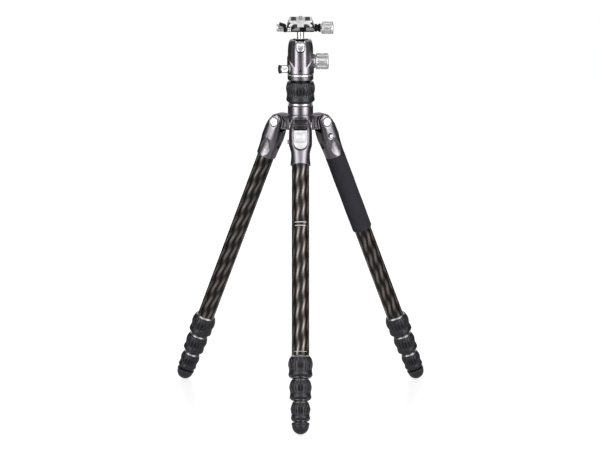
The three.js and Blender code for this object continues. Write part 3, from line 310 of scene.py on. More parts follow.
def reshape(obj, radius_at):
    """Scales points towards or away from the Z axis, so that a point at (angle, radius,
    height) in millimetres comes to lie at the radius that radius_at gives."""
    activate(obj)
    bpy.ops.object.mode_set(mode="EDIT")
    bpy.ops.mesh.select_mode(type="VERT")
    mesh = bmesh.from_edit_mesh(obj.data)
    groups = {}
    for vertex in mesh.verts:
        x, y, z = vertex.co / MM
        radius = math.hypot(x, y)
        if radius < 0.01:
            continue
        ratio = round(radius_at(math.atan2(y, x), radius, z) / radius, 3)
        if ratio != 1:
            groups.setdefault(ratio, []).append(vertex.index)
    for ratio, members in groups.items():
        bpy.ops.mesh.select_all(action="DESELECT")
        mesh = bmesh.from_edit_mesh(obj.data)
        mesh.verts.ensure_lookup_table()
        for index in members:
            mesh.verts[index].select = True
        mesh.select_flush_mode()
        bpy.ops.transform.resize(value=(ratio, ratio, 1), center_override=(0, 0, 0))
    bpy.ops.object.mode_set(mode="OBJECT")
    return obj


def apply_modifier(obj, kind, **values):
    """Adds a modifier, sets it and applies it."""
    activate(obj)
    modifier = obj.modifiers.new(kind.title(), kind)
    for key, value in values.items():
        setattr(modifier, key, value)
    bpy.ops.object.modifier_apply(modifier=modifier.name)
    return obj


def open_edges(obj):
    """How many edges of a mesh lack a face on one of their sides."""
    mesh = bmesh.new()
    mesh.from_mesh(obj.data)
    count = sum(not edge.is_manifold for edge in mesh.edges)
    mesh.free()
    return count


def weld(obj):
    """Joins points closer than a thousandth of a millimetre, which would open the solid at
    its next cut."""
    activate(obj)
    bpy.ops.object.mode_set(mode="EDIT")
    bpy.ops.mesh.select_all(action="SELECT")
    bpy.ops.mesh.remove_doubles(threshold=0.001 * MM)
    bpy.ops.object.mode_set(mode="OBJECT")


def cut(obj, *cutters, operation="DIFFERENCE"):
    """Cuts, or joins, one solid after another. A cut that leaves the solid open is made
    again, with the cutter moved by a few thousandths of a millimetre."""
    for cutter in cutters:
        whole = obj.data.copy()
        before = open_edges(obj)
        for k in range(5):
            cutter.location = Vector((0.003, -0.002, 0.004)) * k * MM
            bpy.context.view_layer.update()
            apply_modifier(obj, "BOOLEAN", operation=operation, object=cutter, solver="EXACT")
            weld(obj)
            if k == 4 or open_edges(obj) <= before:
                break
            obj.data = whole.copy()
        bpy.data.objects.remove(cutter)
        bpy.data.meshes.remove(whole)
    return obj


def join(obj, *others):
    """Joins solids into the first."""
    return cut(obj, *others, operation="UNION")


def bevelled(obj, width, segments=2, angle=32):
    """Rounds every edge sharper than an angle."""
    return apply_modifier(
        obj, "BEVEL", width=width, segments=segments, limit_method="ANGLE",
        angle_limit=math.radians(angle), use_clamp_overlap=True,
    )


def cast(obj, grain=0.55, passes=4):
    """Softens a cut shape into one even casting skin."""
    apply_modifier(obj, "REMESH", mode="VOXEL", voxel_size=grain * MM)
    return apply_modifier(obj, "SMOOTH", factor=0.5, iterations=passes)


def place(obj, matrix):
    """Moves an object and applies the place to its mesh."""
    activate(obj)
    obj.matrix_world = matrix @ obj.matrix_world
    bpy.ops.object.transform_apply(location=True, rotation=True, scale=True)
    return obj


def lift(obj, height):
    """Moves an object up by a height in millimetres."""
    return place(obj, Matrix.Translation((0, 0, height * MM)))


def twin(obj, name):
    """A copy with its own mesh."""
    activate(obj)
    bpy.ops.object.duplicate(linked=False)
    copy = bpy.context.object
    copy.name = name
    return copy


def dress(obj, material, body, *nodes, slot=None, angle=35):
    """Shades, paints and mounts a finished piece in place of its nodes."""
    activate(obj)
    bpy.ops.object.shade_smooth_by_angle(angle=math.radians(angle))
    obj.data.materials.clear()
    obj.data.materials.append(material)
    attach(obj, body)
    if nodes:
        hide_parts(*nodes)
    return obj


def place_on_legs(model, name, material, body, node, slot, angle=35):
    """Copies a piece made in a leg's own frame onto the three legs."""
    for leg in LEGS:
        copy = twin(model, f"{name}_{leg}_look")
        place(copy, leg_frame(leg))
        nodes = [node.format(leg)] if node else []
        dress(copy, material, body.format(leg), *nodes, slot=slot, angle=angle)
    bpy.data.objects.remove(model)


# ---------------------------------------------------------------- finishes
def add_node(tree, kind, inputs=None, **settings):
    """A new node with its settings, and with inputs that are linked to a socket or set."""
    node = tree.nodes.new(f"ShaderNode{kind}")
    for key, value in settings.items():
        setattr(node, key, value)
    for key, value in (inputs or {}).items():
        if isinstance(value, bpy.types.NodeSocket):
            tree.links.new(value, node.inputs[key])
        else:
            node.inputs[key].default_value = value
    return node


def shader(name):
    """A new material, its node tree and its main shader."""
    material = bpy.data.materials.new(name)
    material.use_nodes = True
    return material, material.node_tree, material.node_tree.nodes["Principled BSDF"]


def number(tree, operation, *values):
    """One step of arithmetic on sockets or numbers."""
    return add_node(tree, "Math", dict(enumerate(values)), operation=operation).outputs[0]


def between(tree, value, start, end, low, high):
    """A number carried from one range to another, and held at its ends."""
    return add_node(tree, "MapRange", {
        "Value": value, "From Min": start, "From Max": end, "To Min": low, "To Max": high,
    }).outputs["Result"]


def noise(tree, scale, detail=3.0, stretch=(1, 1, 1), coordinates="Object"):
    """A noise that follows the piece, as a factor socket."""
    here = add_node(tree, "TexCoord").outputs[coordinates]
    mapping = add_node(tree, "Mapping", {"Vector": here, "Scale": stretch})
    return add_node(tree, "TexNoise", {
        "Vector": mapping.outputs["Vector"], "Scale": scale, "Detail": detail,
    }).outputs["Fac"]


def spread(tree, factor, low, high):
    """A noise carried to a range of numbers."""
    return between(tree, factor, 0.3, 0.7, low, high)


def tint(tree, factor, dark, light):
    """A colour between two, by a factor."""
    colours = {0: factor, 6: (*dark, 1), 7: (*light, 1)}
    return add_node(tree, "Mix", colours, data_type="RGBA").outputs[2]


def grain(tree, bsdf, factor, distance, strength=0.4):
    """Raises the surface a little by a factor."""
    bump = add_node(tree, "Bump", {
        "Strength": strength, "Distance": distance, "Height": factor,
    })
    tree.links.new(bump.outputs["Normal"], bsdf.inputs["Normal"])


def shade_of(colour, factor):
    """A colour made lighter or darker."""
    return tuple(min(1.0, channel * factor) for channel in colour)


def metal(name, colour, roughness, texture=900.0, uneven=0.05, relief=0.00003, metallic=1.0):
    """Blasted or turned metal with a slightly uneven sheen."""
    material, tree, bsdf = shader(name)
    broad = noise(tree, texture * 0.05)
    fine = noise(tree, texture, detail=2)
    colours = tint(tree, broad, shade_of(colour, 0.93), shade_of(colour, 1.06))
    tree.links.new(colours, bsdf.inputs["Base Color"])
    rough = spread(tree, fine, roughness - uneven, roughness + uneven)
    tree.links.new(rough, bsdf.inputs["Roughness"])
    bsdf.inputs["Metallic"].default_value = metallic
    grain(tree, bsdf, fine, relief, 0.3)
    return material


def moulded(name, colour, roughness, texture=700.0, relief=0.0001, light=1.35):
    """Moulded rubber, plastic or foam, with a fine skin."""
    material, tree, bsdf = shader(name)
    broad = noise(tree, texture * 0.06)
    fine = noise(tree, texture, detail=4)
    colours = tint(tree, broad, shade_of(colour, 0.8), shade_of(colour, light))
    tree.links.new(colours, bsdf.inputs["Base Color"])
    rough = spread(tree, fine, roughness - 0.06, roughness + 0.06)
    tree.links.new(rough, bsdf.inputs["Roughness"])
    grain(tree, bsdf, fine, relief, 0.5)
    return material


def woven_carbon(name, ground, fibre, bundles=9, wave=0.0315):
    """Lacquered carbon whose wide fibre bundles run down the tube in long waves. The map
    "wrap" holds the turn round the tube and the distance down it in metres."""
    material, tree, bsdf = shader(name)
    wrap = add_node(tree, "UVMap", uv_map="wrap").outputs["UV"]
    split = add_node(tree, "SeparateXYZ", {"Vector": wrap})
    turn, depth = split.outputs["X"], split.outputs["Y"]

    # The bundles sway from side to side, and drift a little from tube to tube
    drift = noise(tree, 9.0, detail=1)
    lean = number(tree, "MULTIPLY_ADD", depth, math.tau / wave,
                  number(tree, "MULTIPLY", turn, math.tau * 2))
    bend = number(tree, "MULTIPLY_ADD", number(tree, "SINE", lean), 0.85,
                  number(tree, "MULTIPLY_ADD", drift, 3.0, -1.74))
    phase = number(tree, "MULTIPLY_ADD", turn, math.tau * bundles, bend)
    band = number(tree, "MULTIPLY_ADD", number(tree, "SINE", phase), 0.5, 0.5)
    streak = number(tree, "POWER", band, 1.7)

    # Where a bundle leans to one side it is given more fibre colour and more metal, thread by
    # thread: a painted sheen standing in for the light that leaning fibres catch
    thread = noise(tree, 1.0, detail=2, stretch=(260, 9, 1), coordinates="UV")
    painted_lean_sheen = number(tree, "MULTIPLY_ADD", number(tree, "COSINE", lean), 0.44, 0.58)
    sheen = number(tree, "MULTIPLY", painted_lean_sheen, spread(tree, thread, 0.4, 1.1))
    weave_and_sheen = number(tree, "MULTIPLY", streak, sheen)
    for key, value in (
        ("Base Color", tint(tree, weave_and_sheen, ground, fibre)),
        ("Metallic", number(tree, "MULTIPLY", weave_and_sheen, 0.9)),
        ("Roughness", number(tree, "MULTIPLY_ADD", streak, -0.05, 0.27)),
    ):
        tree.links.new(value, bsdf.inputs[key])
    bsdf.inputs["Specular IOR Level"].default_value = 0.16
    bsdf.inputs["Coat Weight"].default_value = 0.05
    bsdf.inputs["Coat Roughness"].default_value = 0.12
    grain(tree, bsdf, band, 0.0004, 0.5)
    return material


FINISHES = {}


def finish(name):
    """The named finish, made when it is first asked for."""
    if name in FINISHES:
        return FINISHES[name]
    colours = bpy.context.scene.tripod_finish
    gunmetal, silver = tuple(colours.gunmetal), tuple(colours.silver)
    black = (0.022, 0.021, 0.024)
    metals = {
        "gunmetal": (gunmetal, 1.0, 0.33, 1400, 0.03),
        # the same gunmetal darkened to six tenths: painted shade for the panning base
        "gunmetal_half_painted_shade": (gunmetal, 0.62, 0.38, 1400, 0.03),
        "gunmetal_dark": (gunmetal, 0.4, 0.38, 1400),
        # the same gunmetal at about a quarter of its brightness: painted shade for the spider's
        # arms
        "gunmetal_painted_shade": (gunmetal, 0.26, 0.36, 1400),
        "silver": (silver, 1.0, 0.3, 1800),
        "pale_silver": (silver, 0.84, 0.42, 1800, 0.05, 0.00003, 0.5),
        "satin_silver": (silver, 0.84, 0.36, 1800),
        "knurled_silver": (silver, 1.0, 0.34, 1800),
        # silver darkened to four tenths: painted shade that dims the rings' reflections
        "ring_silver_painted_shade": (silver, 0.4, 0.34, 1800, 0.03),
        "ball_silver": (silver, 1.0, 0.3, 600, 0.02, 0.000005, 0.7),
        "tab_silver": (silver, 0.86, 0.42, 1800, 0.05, 0.00003, 0.65),
        "facet_grey": ((0.3, 0.28, 0.3), 1.0, 0.4, 1500, 0.05, 0.00003, 0.5),
        "black_metal": (black, 1.0, 0.34, 1500, 0.05, 0.00003, 0.85),
    }
    moulds = {
        "rubber": (tuple(colours.rubber), 0.40),
        "foam": (tuple(colours.foam), 0.85, 1100, 0.0004),
        "pad": ((0.018, 0.018, 0.02), 0.7, 2400, 0.0002),
        "print": ((0.75, 0.75, 0.74), 0.5, 300, 0.00001, 1.05),
        "porcelain": ((0.8, 0.8, 0.8), 0.3, 300, 0.00001, 1.05),
    }
    if name in metals:
        colour, shade, *surface = metals[name]
        made = metal(name, shade_of(colour, shade), *surface)
    elif name in moulds:
        made = moulded(name, *moulds[name])
    else:
        made = woven_carbon(name, tuple(colours.carbon), tuple(colours.fibre))
    FINISHES[name] = made
    return made


def wrap_map(obj):
    """Gives a tube that stands round Z the map of its turn and its depth."""
    layer = obj.data.uv_layers.new(name="wrap")
    for face in obj.data.polygons:
        points = [obj.data.vertices[obj.data.loops[i].vertex_index].co for i in face.loop_indices]
        centre = math.atan2(sum(p.y for p in points), sum(p.x for p in points))
        for i, point in zip(face.loop_indices, points):
            turn = math.atan2(point.y, point.x)
            if turn - centre > math.pi:
                turn -= math.tau
            elif centre - turn > math.pi:
                turn += math.tau
            layer.data[i].uv = (turn / math.tau, -point.z)
    return obj


# ---------------------------------------------------------------- legs
class TRIPOD_OT_leg_tubes(bpy.types.Operator):
    """Makes the four carbon tubes of each leg, with the bright ferrule of each lock"""

    bl_idname = "tripod.leg_tubes"
    bl_label = "Leg Tubes"

    def execute(self, context):
        for k, radius in enumerate(TUBE_RADII):
            last = k == len(LOCK_TOPS)
            foot = -(FOOT_TOP - GAP) if last else -(LOCK_TOPS[k] + 1)
            top = -TUBE_TOPS[k]
            bore = radius - TUBE_WALL
            wall = [(bore, top), (bore, foot), (radius, foot), (radius, top)]
            tube = wrap_map(turned(f"tube_{k + 1}", wall, 96, ring=True))
            body = "leg_{}" if k == 0 else f"section_{k + 1}_{{}}"
            place_on_legs(tube, f"tube_{k + 1}", finish("carbon"), body, f"tube_{k + 1}_{{}}",
                          "carbon")
            if k == 0:
                self.print_lines(radius)
            if last:
                continue
            top, end = -LOCK_TOPS[k], -(LOCK_TOPS[k] + LOCK_LENGTHS[k] - 3.5)
            collar = rounded_ring(f"ferrule_{k + 1}", [
                (radius, end), (radius + 1.4, end), (radius + 1.4, top - FLANGE),
                (radius + 2.6, top - FLANGE), (radius + 2.5, top - FLANGE + 0.6),
                (radius + 0.9, top - 0.2), (radius, top),
            ], 0.3, 96)
            # The ferrules are silver darkened to four tenths: painted shade that dims their
            # reflections
            place_on_legs(collar, f"ferrule_{k + 1}", finish("ring_silver_painted_shade"), body, None, "silver")
        return {"FINISHED"}

    # The depth, the width and half the angle of each printed line, in millimetres and degrees
    LINES = ((159.0, 1.1, 42), (164.5, 1.1, 38), (368.3, 0.5, 48))

    def print_lines(self, radius):
        """The plain white lines printed on the front tube: two wide ones and a fine one."""
        inside, outside = radius - 0.2, radius + 0.05
        for k, (depth, width, half) in enumerate(self.LINES):
            low, high = -depth - width / 2, -depth + width / 2
            ring = turned("line", [
                (inside, low), (outside, low), (outside, high), (inside, high), (inside, low),
            ], 144, ring=True)
            reach = math.tan(math.radians(half)) * 20
            wedge = [(0, 0), (-reach, -20), (reach, -20)]
            keep = prism("keep", wedge, "z", -depth - 5, -depth + 5)
            cut(ring, keep, operation="INTERSECT")
            place(ring, leg_frame("a"))
            ring.name = f"print_line_{k + 1}_look"
            dress(ring, finish("print"), "leg_a", slot="silver")


def grip(name, length, crest, foot, shank, lip, lip_height, ribs, depth):
    """The ribbed rubber sleeve of a twist lock, standing on height 0."""
    swell = smooth_line([
        (foot + 0.9, 0.5), (crest - 0.8, 3.2), (crest - 0.65, length * 0.2),
        (crest - 1.5, length * 0.38), (crest - 0.9, length * 0.5), (crest, length * 0.66),
        (crest - 0.45, length * 0.8), (crest - 1.6, length * 0.93),
    ], 4)
    profile = [(lip, 0), (foot, 0), *swell, (crest - 2.4, length), (shank, length),
               (shank, lip_height), (lip, lip_height)]
    sleeve = turned(name, profile, ribs * 8, ring=True)

    def ribbed(angle, radius, height):
        if radius < shank + 0.8 or height < length * 0.3 or height > length * 0.97:
            return radius
        rise = (height / length - 0.3) / 0.67
        fade = math.sin(math.pi * min(1, rise) ** 0.8) ** 0.7
        groove = max(0.0, -math.cos(angle * ribs)) ** 0.8
        return radius - depth * fade * groove

    return reshape(sleeve, ribbed)


class TRIPOD_OT_leg_locks(bpy.types.Operator):
    """Makes the ribbed rubber twist locks of the legs, with the ring at each one's foot"""

    bl_idname = "tripod.leg_locks"
    bl_label = "Leg Locks"

    def execute(self, context):
        sizes = context.scene.tripod_sizes
        for k, crest in enumerate(LOCK_CRESTS):
            outer = TUBE_RADII[k]
            lip = TUBE_RADII[k + 1] + GAP
            sleeve = grip(
                f"lock_{k + 1}", LOCK_LENGTHS[k] - FLANGE - GAP, crest, outer + 1.2, outer + 1.7,
                lip, 3.2, sizes.lock_ribs, sizes.rib_depth / MM,
            )
            low = -(LOCK_TOPS[k] + LOCK_LENGTHS[k])
            lift(sleeve, low)
            place_on_legs(sleeve, f"lock_{k + 1}", finish("rubber"), f"lock_{k + 1}_{{}}",
                          f"lock_{k + 1}_{{}}", "rubber", angle=50)
            ring = rounded_ring(f"lock_ring_{k + 1}", [
                (lip, low + 0.5), (lip, low - 0.5), (outer + 0.7, low - 0.5),
                (outer + 0.9, low + 0.5),
            ], 0.2, 96)
            # The rings are silver darkened to four tenths: painted shade that dims their
            # reflections
            place_on_legs(ring, f"lock_ring_{k + 1}", finish("ring_silver_painted_shade"), f"lock_{k + 1}_{{}}",
                          None, "silver")
        return {"FINISHED"}


class TRIPOD_OT_feet(bpy.types.Operator):
    """Makes the domed rubber feet"""

    bl_idname = "tripod.feet"
    bl_label = "Feet"

    def execute(self, context):
        centre = -(FOOT_TOP + 5.3)
        dome = arc_points((0, centre), 13.5, -90, 0)[1:]
        rim = fillet([
            dome[-1], (14.2, centre + 1.4), (14.4, -FOOT_TOP - 1.3), (12.6, -FOOT_TOP),
            (8.0, -FOOT_TOP), (8.0, -FOOT_TOP + 24),
        ], 0.6)
        foot = turned("foot", dome[:-1] + rim, 72)
        place_on_legs(foot, "foot", finish("rubber"), "section_4_{}", "foot_{}", "rubber",
                      angle=50)
        return {"FINISHED"}


def superellipse(angle, half_x, half_y, power):
    """The radius of a rounded box outline at an angle."""
    return (abs(math.cos(angle) / half_x) ** power
            + abs(math.sin(angle) / half_y) ** power) ** (-1 / power)


class TRIPOD_OT_castings(bpy.types.Operator):
    """Makes the forked shoulder casting of each leg, with its leaf-shaped hollows"""

    bl_idname = "tripod.castings"
    bl_label = "Leg Castings"

    # Height, half width along the hinge, half depth inward and outward, and how square
    # the outline is
    STATIONS = [
        (-64.0, 15.9, 15.9, 15.9, 2.0), (-63.5, 16.3, 16.3, 16.3, 2.0),
        (-60.5, 16.2, 16.2, 16.2, 2.0), (-52.0, 16.4, 16.4, 16.4, 2.05),
        (-44.0, 16.4, 16.7, 16.7, 2.2), (-35.0, 17.6, 16.7, 16.7, 2.5),
        (-30.5, 18.7, 16.3, 16.5, 2.75), (-22.0, 18.8, 15.4, 16.3, 2.9),
        (-12.3, 18.8, 14.1, 16.0, 3.0), (-6.0, 18.5, 13.1, 15.1, 3.1),
        (0.0, 18.0, 12.5, 13.6, 3.2), (4.0, 17.1, 11.7, 12.2, 3.3),
        (7.5, 15.7, 9.8, 10.0, 3.6), (10.2, 14.9, 6.8, 6.8, 3.9),
        (11.8, 14.4, 3.6, 3.6, 4.0), (12.3, 14.2, 1.6, 1.6, 4.0),
    ]

    def outline_at(self, height):
        """The outline's sizes at a height."""
        for low, high in zip(self.STATIONS, self.STATIONS[1:]):
            if height <= high[0]:
                share = max(0.0, (height - low[0]) / (high[0] - low[0]))
                return [a + (b - a) * share for a, b in zip(low[1:], high[1:])]
        return self.STATIONS[-1][1:]

    def execute(self, context):
        heights = [self.STATIONS[0][0]]
        for low, high in zip(self.STATIONS, self.STATIONS[1:]):
            steps = max(1, round((high[0] - low[0]) / 3))
            heights += [low[0] + (high[0] - low[0]) * (i + 1) / steps for i in range(steps)]
        body = turned("casting", [(16, height) for height in heights], 80)

        def skin(angle, _, height):
            wide, inward, outward, power = self.outline_at(height)
            return superellipse(angle, wide, inward if math.sin(angle) > 0 else outward, power)

        reshape(body, skin)

        half = 11.2
        arch = arc_points((0, -31.3), half, 0, -180, 18)
        slot = prism("slot", [(half, 20), *arch, (-half, 20)], "y", -25, 8.55)
        cut(slot, block("shelf", (-13, -10.5, -64), (13, 10, -33.1)))
        behind = prism("slot_back", [(-1, 18), (23, 18), (23, -14.2), (9.55, -14.2),
                                     (8.35, -27.3), (-1, -27.3)], "x", -half, half)
        leaf = self.leaf()
        tools = [
            slot, behind, leaf, place(twin(leaf, "leaf_2"), Matrix.Rotation(math.pi, 4, "Z")),
            bar("socket", "z", 14.05, -70, -50, sides=64),
            bar("relief", "y", 6.5, 13.2, 24, (0, -38)),
            bar("pin_bore", "x", HINGE_BORE, -24, 24),
            bar("seat_1", "x", PIN_HEAD + 0.5, 15.2, 24, sides=48),
            bar("seat_2", "x", PIN_HEAD + 0.5, -24, -15.2, sides=48),
            bar("tab_bore", "x", TAB_BORE, -24, 17.3, TAB_PIVOT),
            bar("tab_seat", "x", TAB_SEAT, -24, -17.6, TAB_PIVOT),
        ]
        cut(body, *tools)
        cast(body, 0.6, 5)
        place_on_legs(body, "casting", finish("gunmetal"), "leg_{}", "casting_{}", "gunmetal",
                      angle=60)
        return {"FINISHED"}

    def leaf(self):
        """The cutter of one side hollow: a leaf, pointed above and round below."""
        edge = []
        low, length, width = -62.3, 33.5, 19.5
        for i in range(33):
            share = i / 32
            edge.append((width / 2 * math.sin(math.pi * share ** 0.8) ** 0.8 * (1 - 0.25 * share),
                         low + length * share))
        outline = edge + [(-u, v) for u, v in reversed(edge[1:-1])]
        leaf = prism("leaf", outline, "x", 8, 22)
        core = turned("core", [
            (0.5, -70), (17.0, -70), (16.5, -62.8), (16.1, -60.5), (15.75, -58), (15.45, -54.5),
            (15.25, -50), (15.25, -45), (15.5, -38), (16.0, -33), (16.6, -29), (16.9, -24),
            (0.5, -24),
        ], 96)

        def oval(angle, radius, _):
            return radius if radius < 1 else superellipse(angle, radius, radius * 1.25, 2)

        return cut(leaf, reshape(core, oval))


class TRIPOD_OT_hinge_hardware(bpy.types.Operator):
    """Makes the hinge pins, the angle tabs and the tab pins"""

    bl_idname = "tripod.hinge_hardware"
    bl_label = "Hinge Hardware"

    def execute(self, context):
        edge = context.scene.tripod_sizes.edge
        chamfer = PIN_HEAD - 0.5
        pin = turned("hinge_pin", fillet([
            (0.6, -18.4), (chamfer, -18.4), (PIN_HEAD, -17.9), (PIN_HEAD, -15.5),
            (HINGE_PIN, -15.5), (HINGE_PIN, 15.5), (PIN_HEAD, 15.5), (PIN_HEAD, 17.9),
            (chamfer, 18.4), (0.6, 18.4),
        ], 0.25), 64)
        place(pin, ALONG_X)
        cut(pin, bar("hex_1", "x", 2.6, 17.5, 20, sides=6),
            bar("hex_2", "x", 2.6, -20, -17.5, sides=6))
        place_on_legs(pin, "hinge_pin", finish("satin_silver"), "leg_{}", "hinge_pin_{}",
                      "bright_steel")

        head = turned("tab_pin", fillet([
            (0.4, -21.5), (2.9, -21.5), (3.65, -20.8), (3.65, -18.1), (2, -18.1), (2, 17),
            (0.4, 17),
        ], 0.3), 48)
        place(head, ALONG_X)
        cut(head, bar("hex", "x", 1.5, -23, -19.9, sides=6))
        place(head, Matrix.Translation(Vector((0, *TAB_PIVOT)) * MM))
        place_on_legs(head, "tab_pin", finish("satin_silver"), "leg_{}", "tab_pin_{}",
                      "bright_steel")

        self.angle_tab(edge)
        return {"FINISHED"}

    def angle_tab(self, edge):
        """The rocking tab: a plate with a round lower end, and a web with a hub and a tooth."""
        half, top, low = 10.85, -9.6, -40.2
        round_end = arc_points((0, low + half), half, 0, -180, 16)
        plate = prism("angle_tab", [(half, top), *round_end, (-half, top)], "y", -15.5, -12.9)
        groove = block("groove", (-8.3, -17, -25.7), (8.3, -14.7, top - 3.5))
        cut(groove, block("island", (-7.4, -18, -24.8), (7.4, -14, top - 4.4)))
        cut(plate, groove, block("shade", (-11.5, -17, -29.5), (11.5, -14.5, -28.6)))
        lip = prism("lip", [(-15.3, -27.3), (-16.9, -27.9), (-17.0, -28.4), (-15.3, -28.5)],
                    "x", -10.6, 10.6)
        join(plate, lip)
        bevelled(plate, edge, 2)
        tooth = [(-4.5, -14.5), (-7.2, -10.6), (-9.6, -9.9)]
        hub = arc_points(TAB_PIVOT, 4.2, -90, 90, 8)
        web = prism("web", [(-13.5, -10.5), (-13.5, -30.3), *hub, *tooth], "x", -8, 8)
        bore = bar("bore", "x", TAB_BORE, -9, 9, TAB_PIVOT)
        join(plate, cut(web, bore))
        place_on_legs(plate, "angle_tab", finish("tab_silver"), "angle_tab_{}",
                      "angle_tab_{}", "silver")


class TRIPOD_OT_foam_grip(bpy.types.Operator):
    """Makes the foam sleeve of one leg"""

    bl_idname = "tripod.foam_grip"
    bl_label = "Foam Grip"

    def execute(self, context):
        top = -(CASTING + 0.6)
        end = top - 139.0
        rows = [(16.5, end + 2 + i * (135.0 / 45)) for i in range(46)]
        bore = TUBE_RADII[0] + GAP
        sleeve = rounded_ring("foam", [
            (bore, end), (16.0, end), (16.5, end + 0.8), *rows, (16.5, top - 0.8), (16.0, top),
            (bore, top),
        ], 0.8, 96)

        def slack(angle, radius, height):
            if radius < 16.2:
                return radius
            return radius + 0.12 * math.sin(height * 0.11 + 1.3 * math.sin(angle * 2))

        reshape(sleeve, slack)
        place(sleeve, leg_frame("c"))
        sleeve.name = "foam_grip_look"
        dress(sleeve, finish("foam"), "leg_c", "foam_grip", slot="foam", angle=60)
        return {"FINISHED"}


# ---------------------------------------------------------------- spider and column
def on_axis(obj, name, look, body, *nodes, slot=None, angle=35):
    """Carries a piece made round Z to the column's axis, and dresses it."""
    place(obj, AXIS)
    obj.name = name
    return dress(obj, finish(look), body, *nodes, slot=slot, angle=angle)


class TRIPOD_OT_spider(bpy.types.Operator):
    """Makes the spider: a turned collar, and three arms whose lugs carry the leg hinges"""

    bl_idname = "tripod.spider"
    bl_label = "Spider"

    def execute(self, context):
        hinge = HINGE["a"].z / MM
        collar = rounded_ring("collar", [
            (14.3, hinge - 12.2), (18.5, hinge - 12.2), (19.3, hinge - 11.4),
            (19.3, hinge + 5.6), (20.8, hinge + 6.6), (21.4, hinge + 7.4),
            (21.4, hinge + 13.9), (20.3, hinge + 14.3), (20.3, hinge + 14.8),
            (20.7, hinge + 15.3), (20.7, hinge + 28.6), (19.8, hinge + 29.5),
            (17.6, hinge + 29.5), (17.6, hinge + 57.5), (14.3, hinge + 57.5),
        ], 0.35, 128)
        on_axis(collar, "spider_collar_look", "gunmetal", "crown", "spider", slot="gunmetal")

        out = (AXIS_Y - HINGE["a"].y) / MM
        lug = arc_points((-out, 0), 12.2, 270, 90, 20)
        model = prism("arm", [(-16, -12.2), *lug, (-16, 12.2)], "x", -10, 10)
        for stop in STOPS:
            notch = block("notch", (-12, -15.2, -1.7), (12, -10.6, 1.7))
            turn = Matrix.Rotation(-math.radians(stop - TOOTH), 4, "X")
            cut(model, place(notch, Matrix.Translation((0, -out * MM, 0)) @ turn))
        cut(model, bar("bore", "x", HINGE_BORE, -12, 12, (-out, 0)))
        pocket = [(-29.5, -9.4), (-19.5, -9.4), (-19.5, 9.6), (-30.5, 9.6), (-26.5, 0)]
        cut(model, prism("pocket", pocket, "x", 6.5, 12), prism("pocket", pocket, "x", -12, -6.5))
        bevelled(model, 0.0007, 2)
        for leg in LEGS:
            arm = twin(model, f"spider_arm_{leg}_look")
            direction = HINGE[leg] - Vector((0, AXIS_Y, 0))
            turn = math.atan2(direction.y, direction.x) + math.pi / 2
            place(arm, Matrix.Translation((0, AXIS_Y, hinge * MM)) @ Matrix.Rotation(turn, 4, "Z"))
            # The arms take gunmetal darkened to about a quarter: painted shade for the shadow
            # between the collar and the castings
            dress(arm, finish("gunmetal_painted_shade"), "crown", "spider", slot="gunmetal")
        bpy.data.objects.remove(model)
        return {"FINISHED"}


class TRIPOD_OT_column_lock(bpy.types.Operator):
    """Makes the column's twist lock and the bright ring under it"""

    bl_idname = "tripod.column_lock"
    bl_label = "Column Lock"

    def execute(self, context):
        sizes = context.scene.tripod_sizes
        low, high = floor_of("column_lock_ring"), roof_of("column_lock_ring")
        ring = rounded_ring("lock_ring", [
            (17.9, low), (18.7, low), (18.7, low + 0.6), (19.2, low + 0.6), (19.6, low + 1.2),
            (19.6, high - 0.6), (19.1, high), (17.9, high),
        ], 0.2, 128)
        on_axis(ring, "lock_ring_look", "satin_silver", "crown", "column_lock_ring",
                slot="silver")

        low, high = floor_of("column_lock_grip"), roof_of("column_lock_grip")
        sleeve = grip("column_grip", high - low, 23.75, 19.1, 14.3, 17.9, 24.4,
                      sizes.column_ribs, sizes.rib_depth / MM * 1.1)
        lift(sleeve, low)
        on_axis(sleeve, "column_grip_look", "rubber", "column_lock", "column_lock_grip",
                slot="rubber", angle=50)
        return {"FINISHED"}


